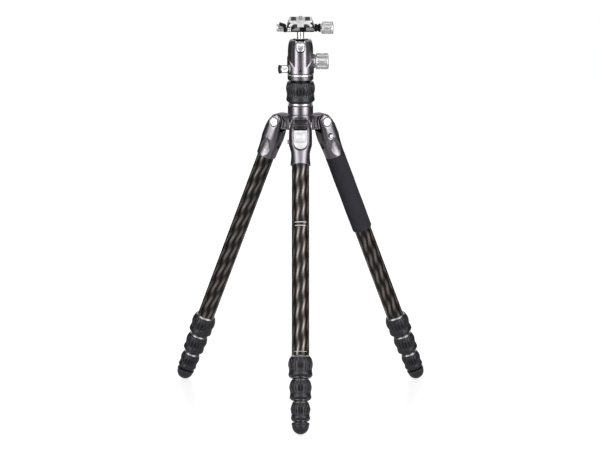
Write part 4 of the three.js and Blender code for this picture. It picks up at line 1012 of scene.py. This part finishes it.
class TRIPOD_OT_column(bpy.types.Operator):
    """Makes the centre column, its top plate, its end cap and the weight hook"""

    bl_idname = "tripod.column"
    bl_label = "Centre Column"

    def execute(self, context):
        low, high = floor_of("column_tube"), roof_of("column_tube")
        wall = [(12.5, low), (14, low), (14, high), (12.5, high)]
        tube = wrap_map(turned("column_tube", wall, 96, ring=True))
        on_axis(tube, "column_tube_look", "carbon", "column", "column_tube", slot="carbon")

        low, high = floor_of("column_top_plate"), roof_of("column_top_plate")
        plate = turned("top_plate", fillet([
            (0.5, low), (12.2, low), (12.2, low + 12), (16.2, low + 12), (16.2, low + 14.2),
            (4.76, low + 14.2), (4.76, high), (0.5, high),
        ], 0.3), 96)
        on_axis(plate, "top_plate_look", "black_metal", "column", "column_top_plate",
                slot="black_metal")
        self.end_cap()
        self.hook()
        return {"FINISHED"}

    def end_cap(self):
        """The cap in the column's lower end, with the tongue that holds the hook."""
        top = floor_of("column_tube") - 0.3
        base = top - 6
        cap = turned("cap", fillet([
            (0.5, base), (12.4, base), (14, base + 1.6), (14, top - 0.5), (13.5, top),
            (12.2, top), (12.2, top + 12.3), (0.5, top + 12.3),
        ], 0.3), 96)
        pivot = base - 4.5
        tongue = prism("tongue", [(4, base + 1), (4, pivot),
                                  *arc_points((0, pivot), 4, 0, -180), (-4, base + 1)],
                       "x", -6, 6)
        cut(tongue, bar("bore", "x", 2, -8, 8, (0, pivot)))
        bevelled(tongue, 0.0004, 2)
        join(cap, tongue)
        on_axis(cap, "end_cap_look", "black_metal", "column", "column_end_cap",
                slot="black_metal")

    def hook(self):
        """The bail of round wire under the cap."""
        pivot = JOINTS["hook_swing"]["pos_m"][2]
        deselect()
        bpy.ops.curve.primitive_bezier_curve_add(location=(0, 0, 0))
        wire = bpy.context.object
        wire.name = "weight_hook_look"
        wire.data.bevel_depth = 1.7 * MM
        wire.data.bevel_resolution = 5
        wire.data.use_fill_caps = True
        spline = wire.data.splines[0]
        spline.resolution_u = 24
        spline.bezier_points.add(2)
        reach, drop = 8.5 * MM, 20.4 * MM
        ends = [(-3 * MM, 0), (-reach, 0), (reach, 0), (3 * MM, 0)]
        for point, (x, z) in zip(spline.bezier_points, ends):
            point.co = (x, 0, z)
            point.handle_left_type = point.handle_right_type = "FREE"
            point.handle_left = point.handle_right = point.co
        spline.bezier_points[1].handle_right = (-reach - 0.5 * MM, 0, -drop)
        spline.bezier_points[2].handle_left = (reach + 0.5 * MM, 0, -drop)
        bpy.ops.object.convert(target="MESH")
        place(wire, Matrix.Translation((0, AXIS_Y, pivot)))
        dress(wire, finish("satin_silver"), "hook", "weight_hook", slot="bright_steel")


# ---------------------------------------------------------------- ball head
def knob(name, axis_end, profile, flutes, depth, sides_per_flute=8, span=(0.12, 0.9), sharp=1.0):
    """A fluted knob turned round Z from its inner face at height 0, then laid along X, to the
    right or, with a negative end, to the left."""
    model = turned(name, profile, flutes * sides_per_flute)
    length = max(height for _, height in profile)
    crown = max(radius for radius, _ in profile)

    def fluted(angle, radius, height):
        share = height / length
        if radius < crown * 0.8 or not span[0] <= share <= span[1]:
            return radius
        fade = math.sin(math.pi * (share - span[0]) / (span[1] - span[0])) ** 0.35
        groove = max(0.0, -math.cos(angle * flutes)) ** sharp
        return radius - depth * fade * groove

    reshape(model, fluted)
    turn = ALONG_X if axis_end > 0 else ALONG_X.inverted()
    return place(model, Matrix.Translation((axis_end * MM, 0, 0)) @ turn)


class TRIPOD_OT_head(bpy.types.Operator):
    """Makes the panning base and the ball head's housing, scalloped at its sides"""

    bl_idname = "tripod.head"
    bl_label = "Ball Head Housing"

    def execute(self, context):
        low, high = floor_of("pan_base"), floor_of("head_housing") - GAP
        base = rounded_ring("pan_base", [
            (5.1, low), (19.3, low), (20.7, low + 1.4), (21.1, low + 2.0), (21.1, low + 7.6),
            (20.6, low + 7.9), (12, low + 7.9), (12, high + 13), (5.1, high + 13),
        ], 0.25, 128)
        # The panning base is the housing's gunmetal darkened: painted shade where less light falls
        # on it
        on_axis(base, "pan_base_look", "gunmetal_half_painted_shade", "column", "pan_base", slot="gunmetal")
        band = rounded_ring("pan_band", [
            (12.2, low + 8.2), (21.3, low + 8.2), (21.2, low + 9.0), (20.7, low + 10.2),
            (20.6, high), (12.2, high),
        ], 0.25, 128)
        on_axis(band, "pan_band_look", "satin_silver", "column", "pan_base", slot="silver")
        self.housing(floor_of("head_housing"), roof_of("head_housing"))
        return {"FINISHED"}

    def housing(self, low, top):
        """The housing: turned, its two cheeks scooped, then bored and notched."""
        skin = smooth_line([
            (21.9, BALL_Z - 5), (21.65, BALL_Z - 1), (21.2, BALL_Z + 2.6),
            (20.5, BALL_Z + 6.2), (19.7, top - 2.2), (18.9, top - 0.7),
        ], 4)
        rows = [(21.9, low + 2 + i) for i in range(1, int(BALL_Z - 7 - low))]
        profile = [(2, low), (21.0, low), (21.6, low + 0.5), (21.9, low + 1.4), *rows, *skin,
                   (17.7, top), (12, top + 0.2), (2, top + 0.2)]
        body = turned("housing", profile, 144)

        def scooped(angle, radius, height):
            if radius < 18 or height < low + 8:
                return radius
            # How far round to a side the point is, and how far above the scoop's lower ridge
            side = abs(math.cos(angle))
            ridge = low + 11.5 + 10.5 * max(0.0, (side - 0.36) / 0.5) ** 1.8
            across = min(1.0, max(0.0, (side - 0.34) / 0.3))
            across *= across * (3 - 2 * across)
            along = min(1.0, max(0.0, (height - ridge) / 1.3))
            return radius - 1.2 * across * along

        reshape(body, scooped)
        boss = turned("boss", fillet([
            (2, 12), (12, 12), (12, 20.5), (11.7, 22.4), (11.0, 24.3), (2, 24.3),
        ], 0.4), 72)
        shaft = JOINTS["main_knob_turn"]["pos_m"][2] / MM
        join(body, lift(place(boss, ALONG_X), shaft))

        arc = arc_points((0, BALL_Z), SEAT_RADIUS, 0, 34, 10)
        socket = turned("socket", [
            (0.5, BALL_Z - 15.1), (SEAT_RADIUS, BALL_Z - 15.1), *arc, (15.4, BALL_Z + 12.6),
            (0.5, BALL_Z + 12.6),
        ], 96)
        pan = Matrix.Translation(Vector(JOINTS["pan_knob_turn"]["pos_m"]) - Vector((0, AXIS_Y, 0)))
        across = Vector(JOINTS["pan_knob_turn"]["axis"])
        turn = across.to_track_quat("Z", "Y").to_matrix().to_4x4()
        bore = turned("pan_bore", [(3.1, -25), (3.1, 25)], 32)
        place(bore, pan @ turn)
        screw_z = low + 6.8
        cut(
            body, socket, self.notch("notch", 7.6, top + 3), bore,
            block("channel", (-7.6, -8, BALL_Z + 7), (7.6, 26, top + 3)),
            bar("bearing", "z", 12.3, low - 2, low + 13, sides=64),
            bar("shaft", "x", 4.9, -6.6, 26, (0, shaft), sides=48),
            bar("well", "z", 5.9, shaft - 1.3, BALL_Z - 14, sides=48),
            bar("dimple", "y", 2.3, -24, -20.6, (0, screw_z), sides=32),
        )
        on_axis(body, "head_housing_look", "gunmetal", "head", "head_housing",
                slot="gunmetal", angle=28)
        self.liner(top)
        screw = turned("set_screw", fillet([(0.4, 0), (2.0, 0), (2.0, 0.9), (0.4, 0.9)], 0.2), 32)
        cut(screw, turned("hex", [(0.9, -0.2), (0.9, 0.5)], 6))
        face = Matrix.Translation((0, -20.75 * MM, screw_z * MM))
        place(screw, face @ Matrix.Rotation(-math.pi / 2, 4, "X"))
        on_axis(screw, "set_screw_look", "black_metal", "head", slot="black_metal")

    def notch(self, name, half, high, start=-26.0, end=-6.0):
        """The upright slot, round at its foot, into which the stem drops."""
        foot = arc_points((0, BALL_Z), half, 180, 360, 24)
        return prism(name, [(-half, high), *foot, (half, high)], "y", start, end)

    def liner(self, top):
        """The lining of the notch, bright inside and with a black lip, shaped to the housing's
        round. The black lip is painted shade, standing in for the shadow on the notch's walls."""
        for name, look, start, end, opening in (
            # the black lip is painted shade on the notch's walls
            ("notch_painted_shade_lip", "black_metal", -21.4, -17.9, STEM_RADIUS + 0.25),
            ("notch_lining", "silver", -17.8, -12.5, 6.9),
        ):
            lining = self.notch(name, 7.55, top + 0.1, start, end)
            cut(lining, self.notch("opening", opening, top + 3))
            shell = turned("shell", [
                (2, BALL_Z - 12), (21.3, BALL_Z - 12), (21.3, BALL_Z - 1), (20.7, BALL_Z + 3),
                (19.8, BALL_Z + 7), (18.4, top - 0.2), (2, top - 0.2),
            ], 96)
            cut(lining, shell, operation="INTERSECT")
            cut(lining, turned("ball", arc_points((0, BALL_Z), SEAT_RADIUS, -88, 88, 40), 96))
            on_axis(lining, f"{name}_look", look, "head", slot=look)


class TRIPOD_OT_ball(bpy.types.Operator):
    """Makes the polished ball with its stem"""

    bl_idname = "tripod.ball"
    bl_label = "Ball"

    def execute(self, context):
        neck = math.degrees(math.asin(6.6 / BALL_RADIUS))
        arc = arc_points((0, 0), BALL_RADIUS, -88, 90 - neck, 40)
        top = CLAMP_Z - GAP - BALL_Z
        profile = [*arc, (6.15, 13.9), (STEM_RADIUS, 14.6), (STEM_RADIUS, top), (4, top),
                   (4, top + 4.8), (0.4, top + 4.8)]
        ball = lift(turned("ball", profile, 128), BALL_Z)
        on_axis(ball, "ball_stem_look", "ball_silver", "ball", "ball_stem", slot="silver")

        # A painted dark ring round the ball's shoulder: a thin black shell on the polished ball,
        # standing in for the dark reflection it shows there
        under = arc_points((0, 0), BALL_RADIUS - 0.4, 44, 62, 8)
        over = arc_points((0, 0), BALL_RADIUS + 0.04, 62, 44, 8)
        shoulder = lift(turned("shoulder", under + over + under[:1], 128, ring=True), BALL_Z)
        on_axis(shoulder, "ball_painted_dark_band_look", "black_metal", "ball", slot="silver")
        return {"FINISHED"}


class TRIPOD_OT_head_knobs(bpy.types.Operator):
    """Makes the fluted main knob and the knurled panning knob"""

    bl_idname = "tripod.head_knobs"
    bl_label = "Head Knobs"

    def execute(self, context):
        flutes = context.scene.tripod_sizes.main_flutes
        length = 21.1
        rows = [(13.25, 1.8 + i * (length - 3.8) / 16) for i in range(17)]
        profile = fillet([(0.5, 0), (11.4, 0), (12.6, 0.8), *rows, (12.6, length - 0.9),
                          (11.2, length), (0.5, length)], 0.4)
        main = knob("main_knob", 24.6, profile, flutes, 1.3, 12, (0.07, 0.93), 0.7)
        height = JOINTS["main_knob_turn"]["pos_m"][2]
        join(main, bar("shaft", "x", 4.6, -5.6, 25.5, sides=48))
        place(main, Matrix.Translation((0, 0, height)))
        on_axis(main, "main_knob_look", "knurled_silver", "main_knob", "main_knob", slot="silver",
                angle=30)
        self.pan_knob()
        return {"FINISHED"}

    def pan_knob(self):
        """The small barrel with its dark end, on a shaft through the housing."""
        joint = JOINTS["pan_knob_turn"]
        out = Vector(joint["axis"])
        heart = Vector((0, 0, joint["pos_m"][2]))
        if out.x > 0:
            out.negate()
        turn = out.to_track_quat("Z", "Y").to_matrix().to_4x4()
        rows = [(6.25, 23.4 + i * 0.5) for i in range(19)]
        barrel = turned("pan_knob", [(0.4, 12.6), (2.8, 12.6), (2.8, 22.2), (5.4, 22.2),
                                     (6.0, 22.7), *rows, (6.0, 33.2), (0.4, 33.2)], 96)

        def ribbed(angle, radius, _):
            return radius - 0.22 * (1 + math.sin(angle * 24)) if radius > 6.1 else radius

        reshape(barrel, ribbed)
        place(barrel, Matrix.Translation(heart) @ turn)
        on_axis(barrel, "pan_knob_look", "knurled_silver", "pan_knob", "pan_knob", slot="silver")
        cap = turned("pan_cap", fillet([
            (0.4, 33.3), (6.8, 33.3), (7.25, 33.8), (7.25, 35.6), (6.6, 36.3), (4.2, 36.3),
            (3.8, 35.8), (0.4, 35.8),
        ], 0.3), 72)
        place(cap, Matrix.Translation(heart) @ turn)
        on_axis(cap, "pan_cap_look", "gunmetal_dark", "pan_knob", "pan_knob", slot="gunmetal")


# ---------------------------------------------------------------- clamp and plate
class TRIPOD_OT_clamp(bpy.types.Operator):
    """Makes the clamp's body and its sliding jaw, with the level set in its corner"""

    bl_idname = "tripod.clamp"
    bl_label = "Clamp"

    WALL = [(19.3, 7.6), (19.3, 10.65), (16.3, 13.65), (16.3, 15.4)]
    BACK = [(18.4, 15.4), (19.2, 14.2), (22.3, 6.6), (22.3, 1.2), (21.3, 0)]

    def execute(self, context):
        for name, body, sign, edge in (
            ("clamp_body", "clamp", -1, 13.7), ("clamp_jaw", "clamp_jaw", 1, 14.0),
        ):
            outline = [(edge, 0), (edge, 7.6)]
            outline += [(sign * x, z) for x, z in self.WALL + self.BACK]
            side = prism(name, outline, "y", -25, 25)
            self.relieve(side, sign)
            if sign < 0:
                self.ears(side)
            bevelled(side, 0.0004, 2)
            lift(side, CLAMP_Z)
            on_axis(side, f"{name}_look", "black_metal", body, name, slot="black_metal")
        self.facets()
        self.level()
        return {"FINISHED"}

    def facets(self):
        """The paler machined facets on the two ends of the clamp."""
        for name, body, outline in (
            ("clamp_facet", "clamp", [(-13.9, 2.5), (-1.5, 2.5), (-1.5, 7.3), (-8.5, 7.3)]),
            ("clamp_facet_2", "clamp", [(9.3, 2.2), (13.5, 2.2), (13.5, 7.3), (9.3, 7.3)]),
            ("jaw_facet", "clamp_jaw", [(14.2, 2.2), (21.2, 2.2), (21.2, 6.4), (14.2, 7.3)]),
        ):
            facet = prism(name, outline, "y", -25.4, -24.8)
            join(facet, prism("back", outline, "y", 24.8, 25.4))
            bevelled(facet, 0.00015, 1)
            lift(facet, CLAMP_Z)
            on_axis(facet, f"{name}_look", "facet_grey", body, slot="gunmetal")

    def relieve(self, side, sign):
        """Bores, and the deep pocket in each end of the body."""
        cut(side, bar("screw_bore", "x", 2.5, 6, 24, (0, 3.6)) if sign > 0
            else bar("pan_bore", "x", 2.3, -24, 0, (0, 3.6)))
        if sign < 0:
            cut(side, bar("spigot", "z", 4.3, -1, 4.8, sides=48),
                block("level_seat", (-21.2, -26, 0.7), (-15.0, -19.7, 6.9)),
                block("pocket_1", (-0.8, -27, 2.2), (8.6, -18, 9)),
                block("pocket_2", (-0.8, 18, 2.2), (8.6, 27, 9)))

    def ears(self, side):
        """The two ears that hold the lever's pin."""
        x, z = LEVER_PIN
        outline = [(-20.3, 0.5), (-20.3, z + 2.6), (x, z + 2.6),
                   *arc_points(LEVER_PIN, 2.6, 90, 270, 12)]
        for start, end in ((-23.8, -21.3), (-12.7, -10.2)):
            join(side, prism("ear", outline, "y", start, end))
        cut(side, bar("pin_bore", "y", 1.6, -26, -9, LEVER_PIN))

    def level(self):
        """The square level: a pale face with a dark cross."""
        body = block("level", (-20.9, -24.9, 1), (-15.3, -20, 6.6))
        bevelled(body, 0.0003, 2)
        lift(body, CLAMP_Z)
        on_axis(body, "level_look", "porcelain", "clamp", "bubble_level", slot="vial")
        cross = block("cross", (-18.4, -25.0, 1.3), (-17.8, -24.5, 6.3))
        join(cross, block("bar", (-20.6, -25.0, 3.5), (-15.6, -24.5, 4.1)))
        lift(cross, CLAMP_Z)
        on_axis(cross, "level_cross_look", "pad", "clamp", slot="rubber")


class TRIPOD_OT_clamp_knobs(bpy.types.Operator):
    """Makes the clamp's spring collar, its two knobs and the safety lever"""

    bl_idname = "tripod.clamp_knobs"
    bl_label = "Clamp Knobs"

    def execute(self, context):
        lines = context.scene.tripod_sizes.knurl
        collar = rounded_ring("collar", [
            (2.5, 0), (5.6, 0), (6.8, 2), (6.9, 2.8), (5.3, 4.6), (5.3, 5.6), (6.9, 7.6),
            (7.2, 8.6), (7.2, 9.7), (6.6, 10.3), (2.5, 10.3),
        ], 0.35, 72)
        place(collar, Matrix.Translation((22.6 * MM, 0, SCREW_Z * MM)) @ ALONG_X)
        on_axis(collar, "clamp_collar_look", "black_metal", "clamp_jaw", "clamp_collar",
                slot="black_metal")

        length = 19.2
        rows = [(10.2, 1.8 + i * (length - 3.8) / 8) for i in range(9)]
        main = knob("clamp_knob", 34.0, [
            (0.5, 0), (7.8, 0), (9.0, 0.4), (9.9, 1.2), *rows, (10.0, length - 1.4),
            (9.1, length - 0.5), (7.8, length), (0.5, length),
        ], lines, 0.28, 4, (0.06, 0.95))
        join(main, bar("shaft", "x", 2.2, 6.5, 35, sides=32))
        lift(main, SCREW_Z)
        on_axis(main, "clamp_knob_look", "knurled_silver", "clamp_knob", "clamp_knob",
                slot="silver", angle=30)

        rows = [(6.25, 1.6 + i * 1.3) for i in range(9)]
        small = knob("clamp_pan_knob", -25, [
            (0.4, 0), (5.2, 0), (5.9, 0.6), *rows, (5.9, 13.2), (5.3, 13.9), (0.4, 13.9),
        ], 22, 0.3, 4, (0.08, 0.93))
        join(small, bar("shaft", "x", 2, -26, -4.7, sides=32))
        lift(small, SCREW_Z)
        on_axis(small, "clamp_pan_knob_look", "knurled_silver", "clamp_pan_knob", "clamp_pan_knob",
                slot="silver", angle=30)
        self.lever()
        return {"FINISHED"}

    def lever(self):
        """The cranked safety lever with its pin."""
        x, z = LEVER_PIN
        outline = [
            (x + 1.9, z), (x + 1.9, z + 8), (x + 0.6, z + 10.2), (x - 8.4, z + 13),
            (x - 9.4, z + 12.2), (x - 9.6, z + 7.8), (x - 3.4, z + 6.2), (x - 1.9, z + 4.4),
            (x - 1.9, z), *arc_points(LEVER_PIN, 1.9, 180, 360, 10)[1:-1],
        ]
        lever = prism("lever", outline, "y", -21, -13)
        bevelled(lever, 0.0005, 3)
        join(lever, bar("pin", "y", 1.3, -23.4, -10.6, LEVER_PIN))
        lift(lever, CLAMP_Z)
        on_axis(lever, "safety_lever_look", "black_metal", "lever", "safety_lever",
                slot="black_metal")


class TRIPOD_OT_plate(bpy.types.Operator):
    """Makes the quick-release plate, its anti-slip pads and the camera screw"""

    bl_idname = "tripod.plate"
    bl_label = "Plate"

    def execute(self, context):
        top = 18.3
        half = [(17.4, 7.9), (19, 9.5), (19, 10.5), (16, 13.5), (16, 15.7), (17.6, 15.7),
                (18.4, 16.4), (18.4, top - 0.8), (17.6, top)]
        outline = half + [(-x, z) for x, z in reversed(half)]
        plate = prism("plate", outline, "y", -26, 26)
        for sign in (-1, 1):
            hollow = [(sign * 5.4, 7), (sign * 5.4, 12.6), (sign * 10.5, 12.9),
                      (sign * 14.9, 9.6), (sign * 14.9, 7)]
            pocket = block("pocket", (min(sign * 7.4, sign * 15.2), -21, top - 0.35),
                           (max(sign * 7.4, sign * 15.2), 21, top + 2))
            cut(plate, prism("hollow", hollow, "y", -28, -12),
                prism("hollow", hollow, "y", 12, 28), pocket)
            for end in (-1, 1):
                cut(plate, block("line", (-7, min(end * 24.6, end * 28), 15.9),
                                 (7, max(end * 24.6, end * 28), 16.6)))
        cut(
            plate,
            bar("screw_bore", "z", 3.4, 0, 25, sides=48),
            bar("head_bore", "z", 7.6, 0, 11.5, sides=64),
            block("slot", (-3.4, -11, 14), (3.4, 11, 25)),
        )
        bevelled(plate, 0.0004, 2)
        lift(plate, CLAMP_Z)
        on_axis(plate, "plate_look", "pale_silver", "plate", "qr_plate", slot="silver")
        self.painted_shade_hollows()
        for side, sign in (("left", -1), ("right", 1)):
            x = sign * 11.3
            pad = block("pad", (x - 3.75, -20.8, top - 0.3), (x + 3.75, 20.8, top + 0.5))
            for i in range(-6, 7):
                cut(pad, block("groove", (x - 5, i * 3 - 0.35, top + 0.15),
                               (x + 5, i * 3 + 0.35, top + 2)))
            cut(pad, block("groove", (x - 0.35, -22, top + 0.15), (x + 0.35, 22, top + 2)))
            lift(pad, CLAMP_Z)
            on_axis(pad, f"plate_pad_{side}_look", "pad", "plate", "qr_plate", slot="rubber")
        self.screw()
        return {"FINISHED"}

    def painted_shade_hollows(self):
        """Dark sheets at the backs of the hollows under the plate's two ends: painted shade for
        the shadow inside the hollows.
        """
        for name, sign in (("left", -1), ("right", 1)):
            outline = [(sign * 5.5, 8), (sign * 5.5, 12.5), (sign * 10.45, 12.8),
                       (sign * 14.8, 9.5), (sign * 14.8, 8)]
            back = join(prism("back", outline, "y", -24, -12.1),
                        prism("back", outline, "y", 12.1, 24))
            lift(back, CLAMP_Z)
            # The backs take the dark pad finish: painted shade inside the hollows
            on_axis(back, f"plate_hollow_painted_shade_{name}_look", "pad", "plate", slot="silver")

    def screw(self):
        """The threaded camera screw, with a slot across its head."""
        rows = []
        for i in range(10):
            height = 12.2 + i * 1.1
            rows += [(3.1, height), (3.1, height + 0.25), (2.65, height + 0.55),
                     (2.65, height + 0.8)]
        tip = roof_of("camera_screw") - CLAMP_Z
        rows = [row for row in rows if row[1] < tip - 0.9]
        screw = turned("screw", [(0.4, 8.2), (6.4, 8.2), (7, 8.8), (7, 10.7), (6.5, 11.2),
                                 (3.1, 11.2), *rows, (2.4, tip - 0.1), (0.4, tip)], 48)
        cut(screw, block("slot", (-8, -0.8, 7), (8, 0.8, 9.6)))
        lift(screw, CLAMP_Z)
        on_axis(screw, "camera_screw_look", "satin_silver", "camera_screw", "camera_screw",
                slot="bright_steel")


# ---------------------------------------------------------------- stage
WHITE = (1, 1, 1, 1)
GREY = (0.6, 0.6, 0.6, 1)
SEEN_RAYS = ("Is Camera Ray", "Is Glossy Ray", "Is Transmission Ray")

# How far round from the front the two soft boxes stand, in radians
BOX_ANGLE = 0.75


def ray_mix(tree, rays, other, seen):
    """Mixes two shaders by the kind of ray, so that the second is what those rays meet."""
    path = add_node(tree, "LightPath")
    total = path.outputs[rays[0]]
    for ray in rays[1:]:
        total = number(tree, "MAXIMUM", total, path.outputs[ray])
    return add_node(tree, "MixShader", {0: total, 1: other, 2: seen}).outputs[0]


def emission(tree, strength):
    """A plain white light-giving shader."""
    return add_node(tree, "Emission", {"Color": WHITE, "Strength": strength}).outputs[0]


def looking(spot, height):
    """The turn of a lamp or camera that looks at a height on the axis."""
    return (Vector((0, AXIS_Y, height)) - spot).to_track_quat("-Z", "Y").to_euler()


def by_distance(tree, start, end, low, high):
    """A number that goes from one value to another with the distance from the axis."""
    here = add_node(tree, "TexCoord").outputs["Object"]
    reach = add_node(tree, "VectorMath", {0: here}, operation="LENGTH")
    return between(tree, reach.outputs["Value"], start, end, low, high)


def beside(tree):
    """A number that is one below the two soft boxes and falls to zero beside them."""
    here = add_node(tree, "TexCoord").outputs["Object"]
    split = add_node(tree, "SeparateXYZ", {"Vector": here})
    across = number(tree, "ABSOLUTE", split.outputs["X"])
    ahead = number(tree, "MULTIPLY", split.outputs["Y"], -1.0)
    angle = number(tree, "ARCTAN2", across, ahead)
    off = number(tree, "ABSOLUTE", number(tree, "SUBTRACT", angle, BOX_ANGLE))
    edge = number(tree, "MULTIPLY_ADD", off, -7.0, 2.9)
    return number(tree, "MAXIMUM", number(tree, "MINIMUM", edge, 1.0), 0.0)


class TRIPOD_OT_stage(bpy.types.Operator):
    """Makes the pale floor and backdrop, the soft boxes and the camera"""

    bl_idname = "tripod.stage"
    bl_label = "Stage"

    def execute(self, context):
        self.world(context)
        self.floor()
        self.backdrop()
        for name, side, power in (("soft_box_left", -1, 33.5), ("soft_box_right", 1, 36.5)):
            turn = math.radians(side * 43)
            distance = 2.0
            spot = Vector((math.sin(turn) * distance, AXIS_Y - math.cos(turn) * distance, 1.1))
            self.light(name, spot, 0.9, 1.28, 2.4, power)
        high = math.radians(35)
        distance = 2.7
        spot = Vector((0, AXIS_Y - math.cos(high) * distance, 0.4 + math.sin(high) * distance))
        self.light("front_box", spot, 0.4, 2.2, 1.3, 10.5)
        for name, side in (("rear_box_left", -1), ("rear_box_right", 1)):
            self.light(name, Vector((side * 1.5, AXIS_Y + 1.9, 1.5)), 0.3, 1.0, 1.2, 6.5)
        self.light("top_box", Vector((0, AXIS_Y + 0.3, 2.6)), 0, 1.6, 1.6, 8)
        self.camera(context)
        return {"FINISHED"}

    def world(self, context):
        """White for the eye, and a dim grey room for everything else."""
        world = bpy.data.worlds.new("room")
        context.scene.world = world
        world.use_nodes = True
        tree = world.node_tree
        tree.nodes.clear()
        room = add_node(tree, "Background", {"Color": WHITE, "Strength": 0.035}).outputs[0]
        white = add_node(tree, "Background", {"Color": WHITE, "Strength": 1.0}).outputs[0]
        rays = ("Is Camera Ray", "Is Transmission Ray")
        add_node(tree, "OutputWorld", {0: ray_mix(tree, rays, room, white)})

    def floor(self):
        """A pale floor that keeps a faint shadow. Shiny pieces meet a glow that is bright
        below the soft boxes and dim between them."""
        deselect()
        bpy.ops.mesh.primitive_circle_add(vertices=96, radius=9, fill_type="NGON",
                                          location=(0, AXIS_Y, 0))
        floor = bpy.context.object
        floor.name = "floor"
        material, tree, bsdf = shader("pale_floor")
        bsdf.inputs["Base Color"].default_value = (0.5, 0.5, 0.5, 1)
        bsdf.inputs["Roughness"].default_value = 0.3
        bsdf.inputs["Specular IOR Level"].default_value = 0.3
        glow = emission(tree, by_distance(tree, 0.2, 2.4, 0.68, 1.0))
        lit = add_node(tree, "AddShader", {0: bsdf.outputs[0], 1: glow}).outputs[0]
        glare = number(tree, "MULTIPLY", beside(tree), by_distance(tree, 0.9, 1.6, 0, 2.4))
        glare = number(tree, "ADD", glare, by_distance(tree, 0.5, 1.2, 0.5, 0.04))
        seen = ray_mix(tree, ("Is Glossy Ray",), lit, emission(tree, glare))
        plain = add_node(tree, "BsdfDiffuse", {"Color": GREY}).outputs[0]
        self.show(floor, material, plain, seen)

    def backdrop(self):
        """A white sheet behind the object, which only shiny edges reflect."""
        deselect()
        bpy.ops.mesh.primitive_plane_add(size=1, location=(0, AXIS_Y + 2.2, 1.05))
        sheet = bpy.context.object
        sheet.name = "backdrop"
        sheet.scale = (1.7, 1.6, 1)
        sheet.rotation_euler = (math.pi / 2, 0, 0)
        bpy.ops.object.transform_apply(location=False, rotation=True, scale=True)
        sheet.visible_camera = False
        material, tree, bsdf = shader("pale_backdrop")
        bsdf.inputs["Base Color"].default_value = GREY
        self.show(sheet, material, bsdf.outputs[0], emission(tree, 1.0))

    def show(self, obj, material, plain, seen):
        """Gives a stage piece one shader for light and another for the rays that see it."""
        tree = material.node_tree
        result = ray_mix(tree, SEEN_RAYS, plain, seen)
        tree.links.new(result, tree.nodes["Material Output"].inputs["Surface"])
        obj.data.materials.append(material)

    def light(self, name, spot, aim, width, height, power):
        """A soft box that faces a height on the axis."""
        deselect()
        bpy.ops.object.light_add(type="AREA", location=spot)
        lamp = bpy.context.object
        lamp.name = name
        lamp.data.shape = "RECTANGLE"
        lamp.data.size = width
        lamp.data.size_y = height
        lamp.data.energy = power
        lamp.rotation_euler = looking(spot, aim)

    def camera(self, context):
        """The camera, level with a standing eye's view of the whole tripod."""
        spot = Vector((0, AXIS_Y - 4.4456, 1.2295))
        deselect()
        bpy.ops.object.camera_add(location=spot)
        camera = bpy.context.object
        camera.name = "camera"
        camera.rotation_euler = looking(spot, 0.29115)
        camera.data.lens = 165.69
        camera.data.sensor_width = 36
        camera.data.shift_x = -1 / 1200
        camera.data.dof.use_dof = False
        context.scene.camera = camera
        context.scene.view_settings.view_transform = "Standard"


# ---------------------------------------------------------------- carried-over solids
class TRIPOD_OT_inner_pieces(bpy.types.Operator):
    """Finishes the solids inside the head that keep their own shape"""

    bl_idname = "tripod.inner_pieces"
    bl_label = "Inner Pieces"

    def execute(self, context):
        for name, look in (("ball_cup", "black_metal"), ("lock_plunger", "satin_silver")):
            node = bpy.data.objects[name]
            node.data.materials.clear()
            node.data.materials.append(finish(look))
        return {"FINISHED"}


PIECES = (
    TRIPOD_OT_leg_tubes,
    TRIPOD_OT_leg_locks,
    TRIPOD_OT_feet,
    TRIPOD_OT_castings,
    TRIPOD_OT_hinge_hardware,
    TRIPOD_OT_foam_grip,
    TRIPOD_OT_spider,
    TRIPOD_OT_column_lock,
    TRIPOD_OT_column,
    TRIPOD_OT_head,
    TRIPOD_OT_ball,
    TRIPOD_OT_head_knobs,
    TRIPOD_OT_clamp,
    TRIPOD_OT_clamp_knobs,
    TRIPOD_OT_plate,
    TRIPOD_OT_inner_pieces,
    TRIPOD_OT_stage,
)


class TRIPOD_PT_pieces(bpy.types.Panel):
    """Lists the settings and a button for each group of pieces"""

    bl_idname = "TRIPOD_PT_pieces"
    bl_label = "Travel Tripod"
    bl_space_type = "VIEW_3D"
    bl_region_type = "UI"
    bl_category = "Tripod"

    def draw(self, context):
        layout = self.layout
        for settings in (context.scene.tripod_sizes, context.scene.tripod_finish):
            box = layout.box()
            for key in settings.__annotations__:
                box.prop(settings, key)
        for piece in PIECES:
            layout.operator(piece.bl_idname)


CLASSES = (TripodSizes, TripodFinish, *PIECES, TRIPOD_PT_pieces)


def register():
    for cls in CLASSES:
        bpy.utils.register_class(cls)
    bpy.types.Scene.tripod_sizes = PointerProperty(type=TripodSizes)
    bpy.types.Scene.tripod_finish = PointerProperty(type=TripodFinish)


def unregister():
    del bpy.types.Scene.tripod_finish
    del bpy.types.Scene.tripod_sizes
    for cls in reversed(CLASSES):
        bpy.utils.unregister_class(cls)


def main():
    """Builds every piece and the stage."""
    register()
    for piece in PIECES:
        group, name = piece.bl_idname.split(".")
        getattr(getattr(bpy.ops, group), name)()
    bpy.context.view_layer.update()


if __name__ == "__main__":
    main()
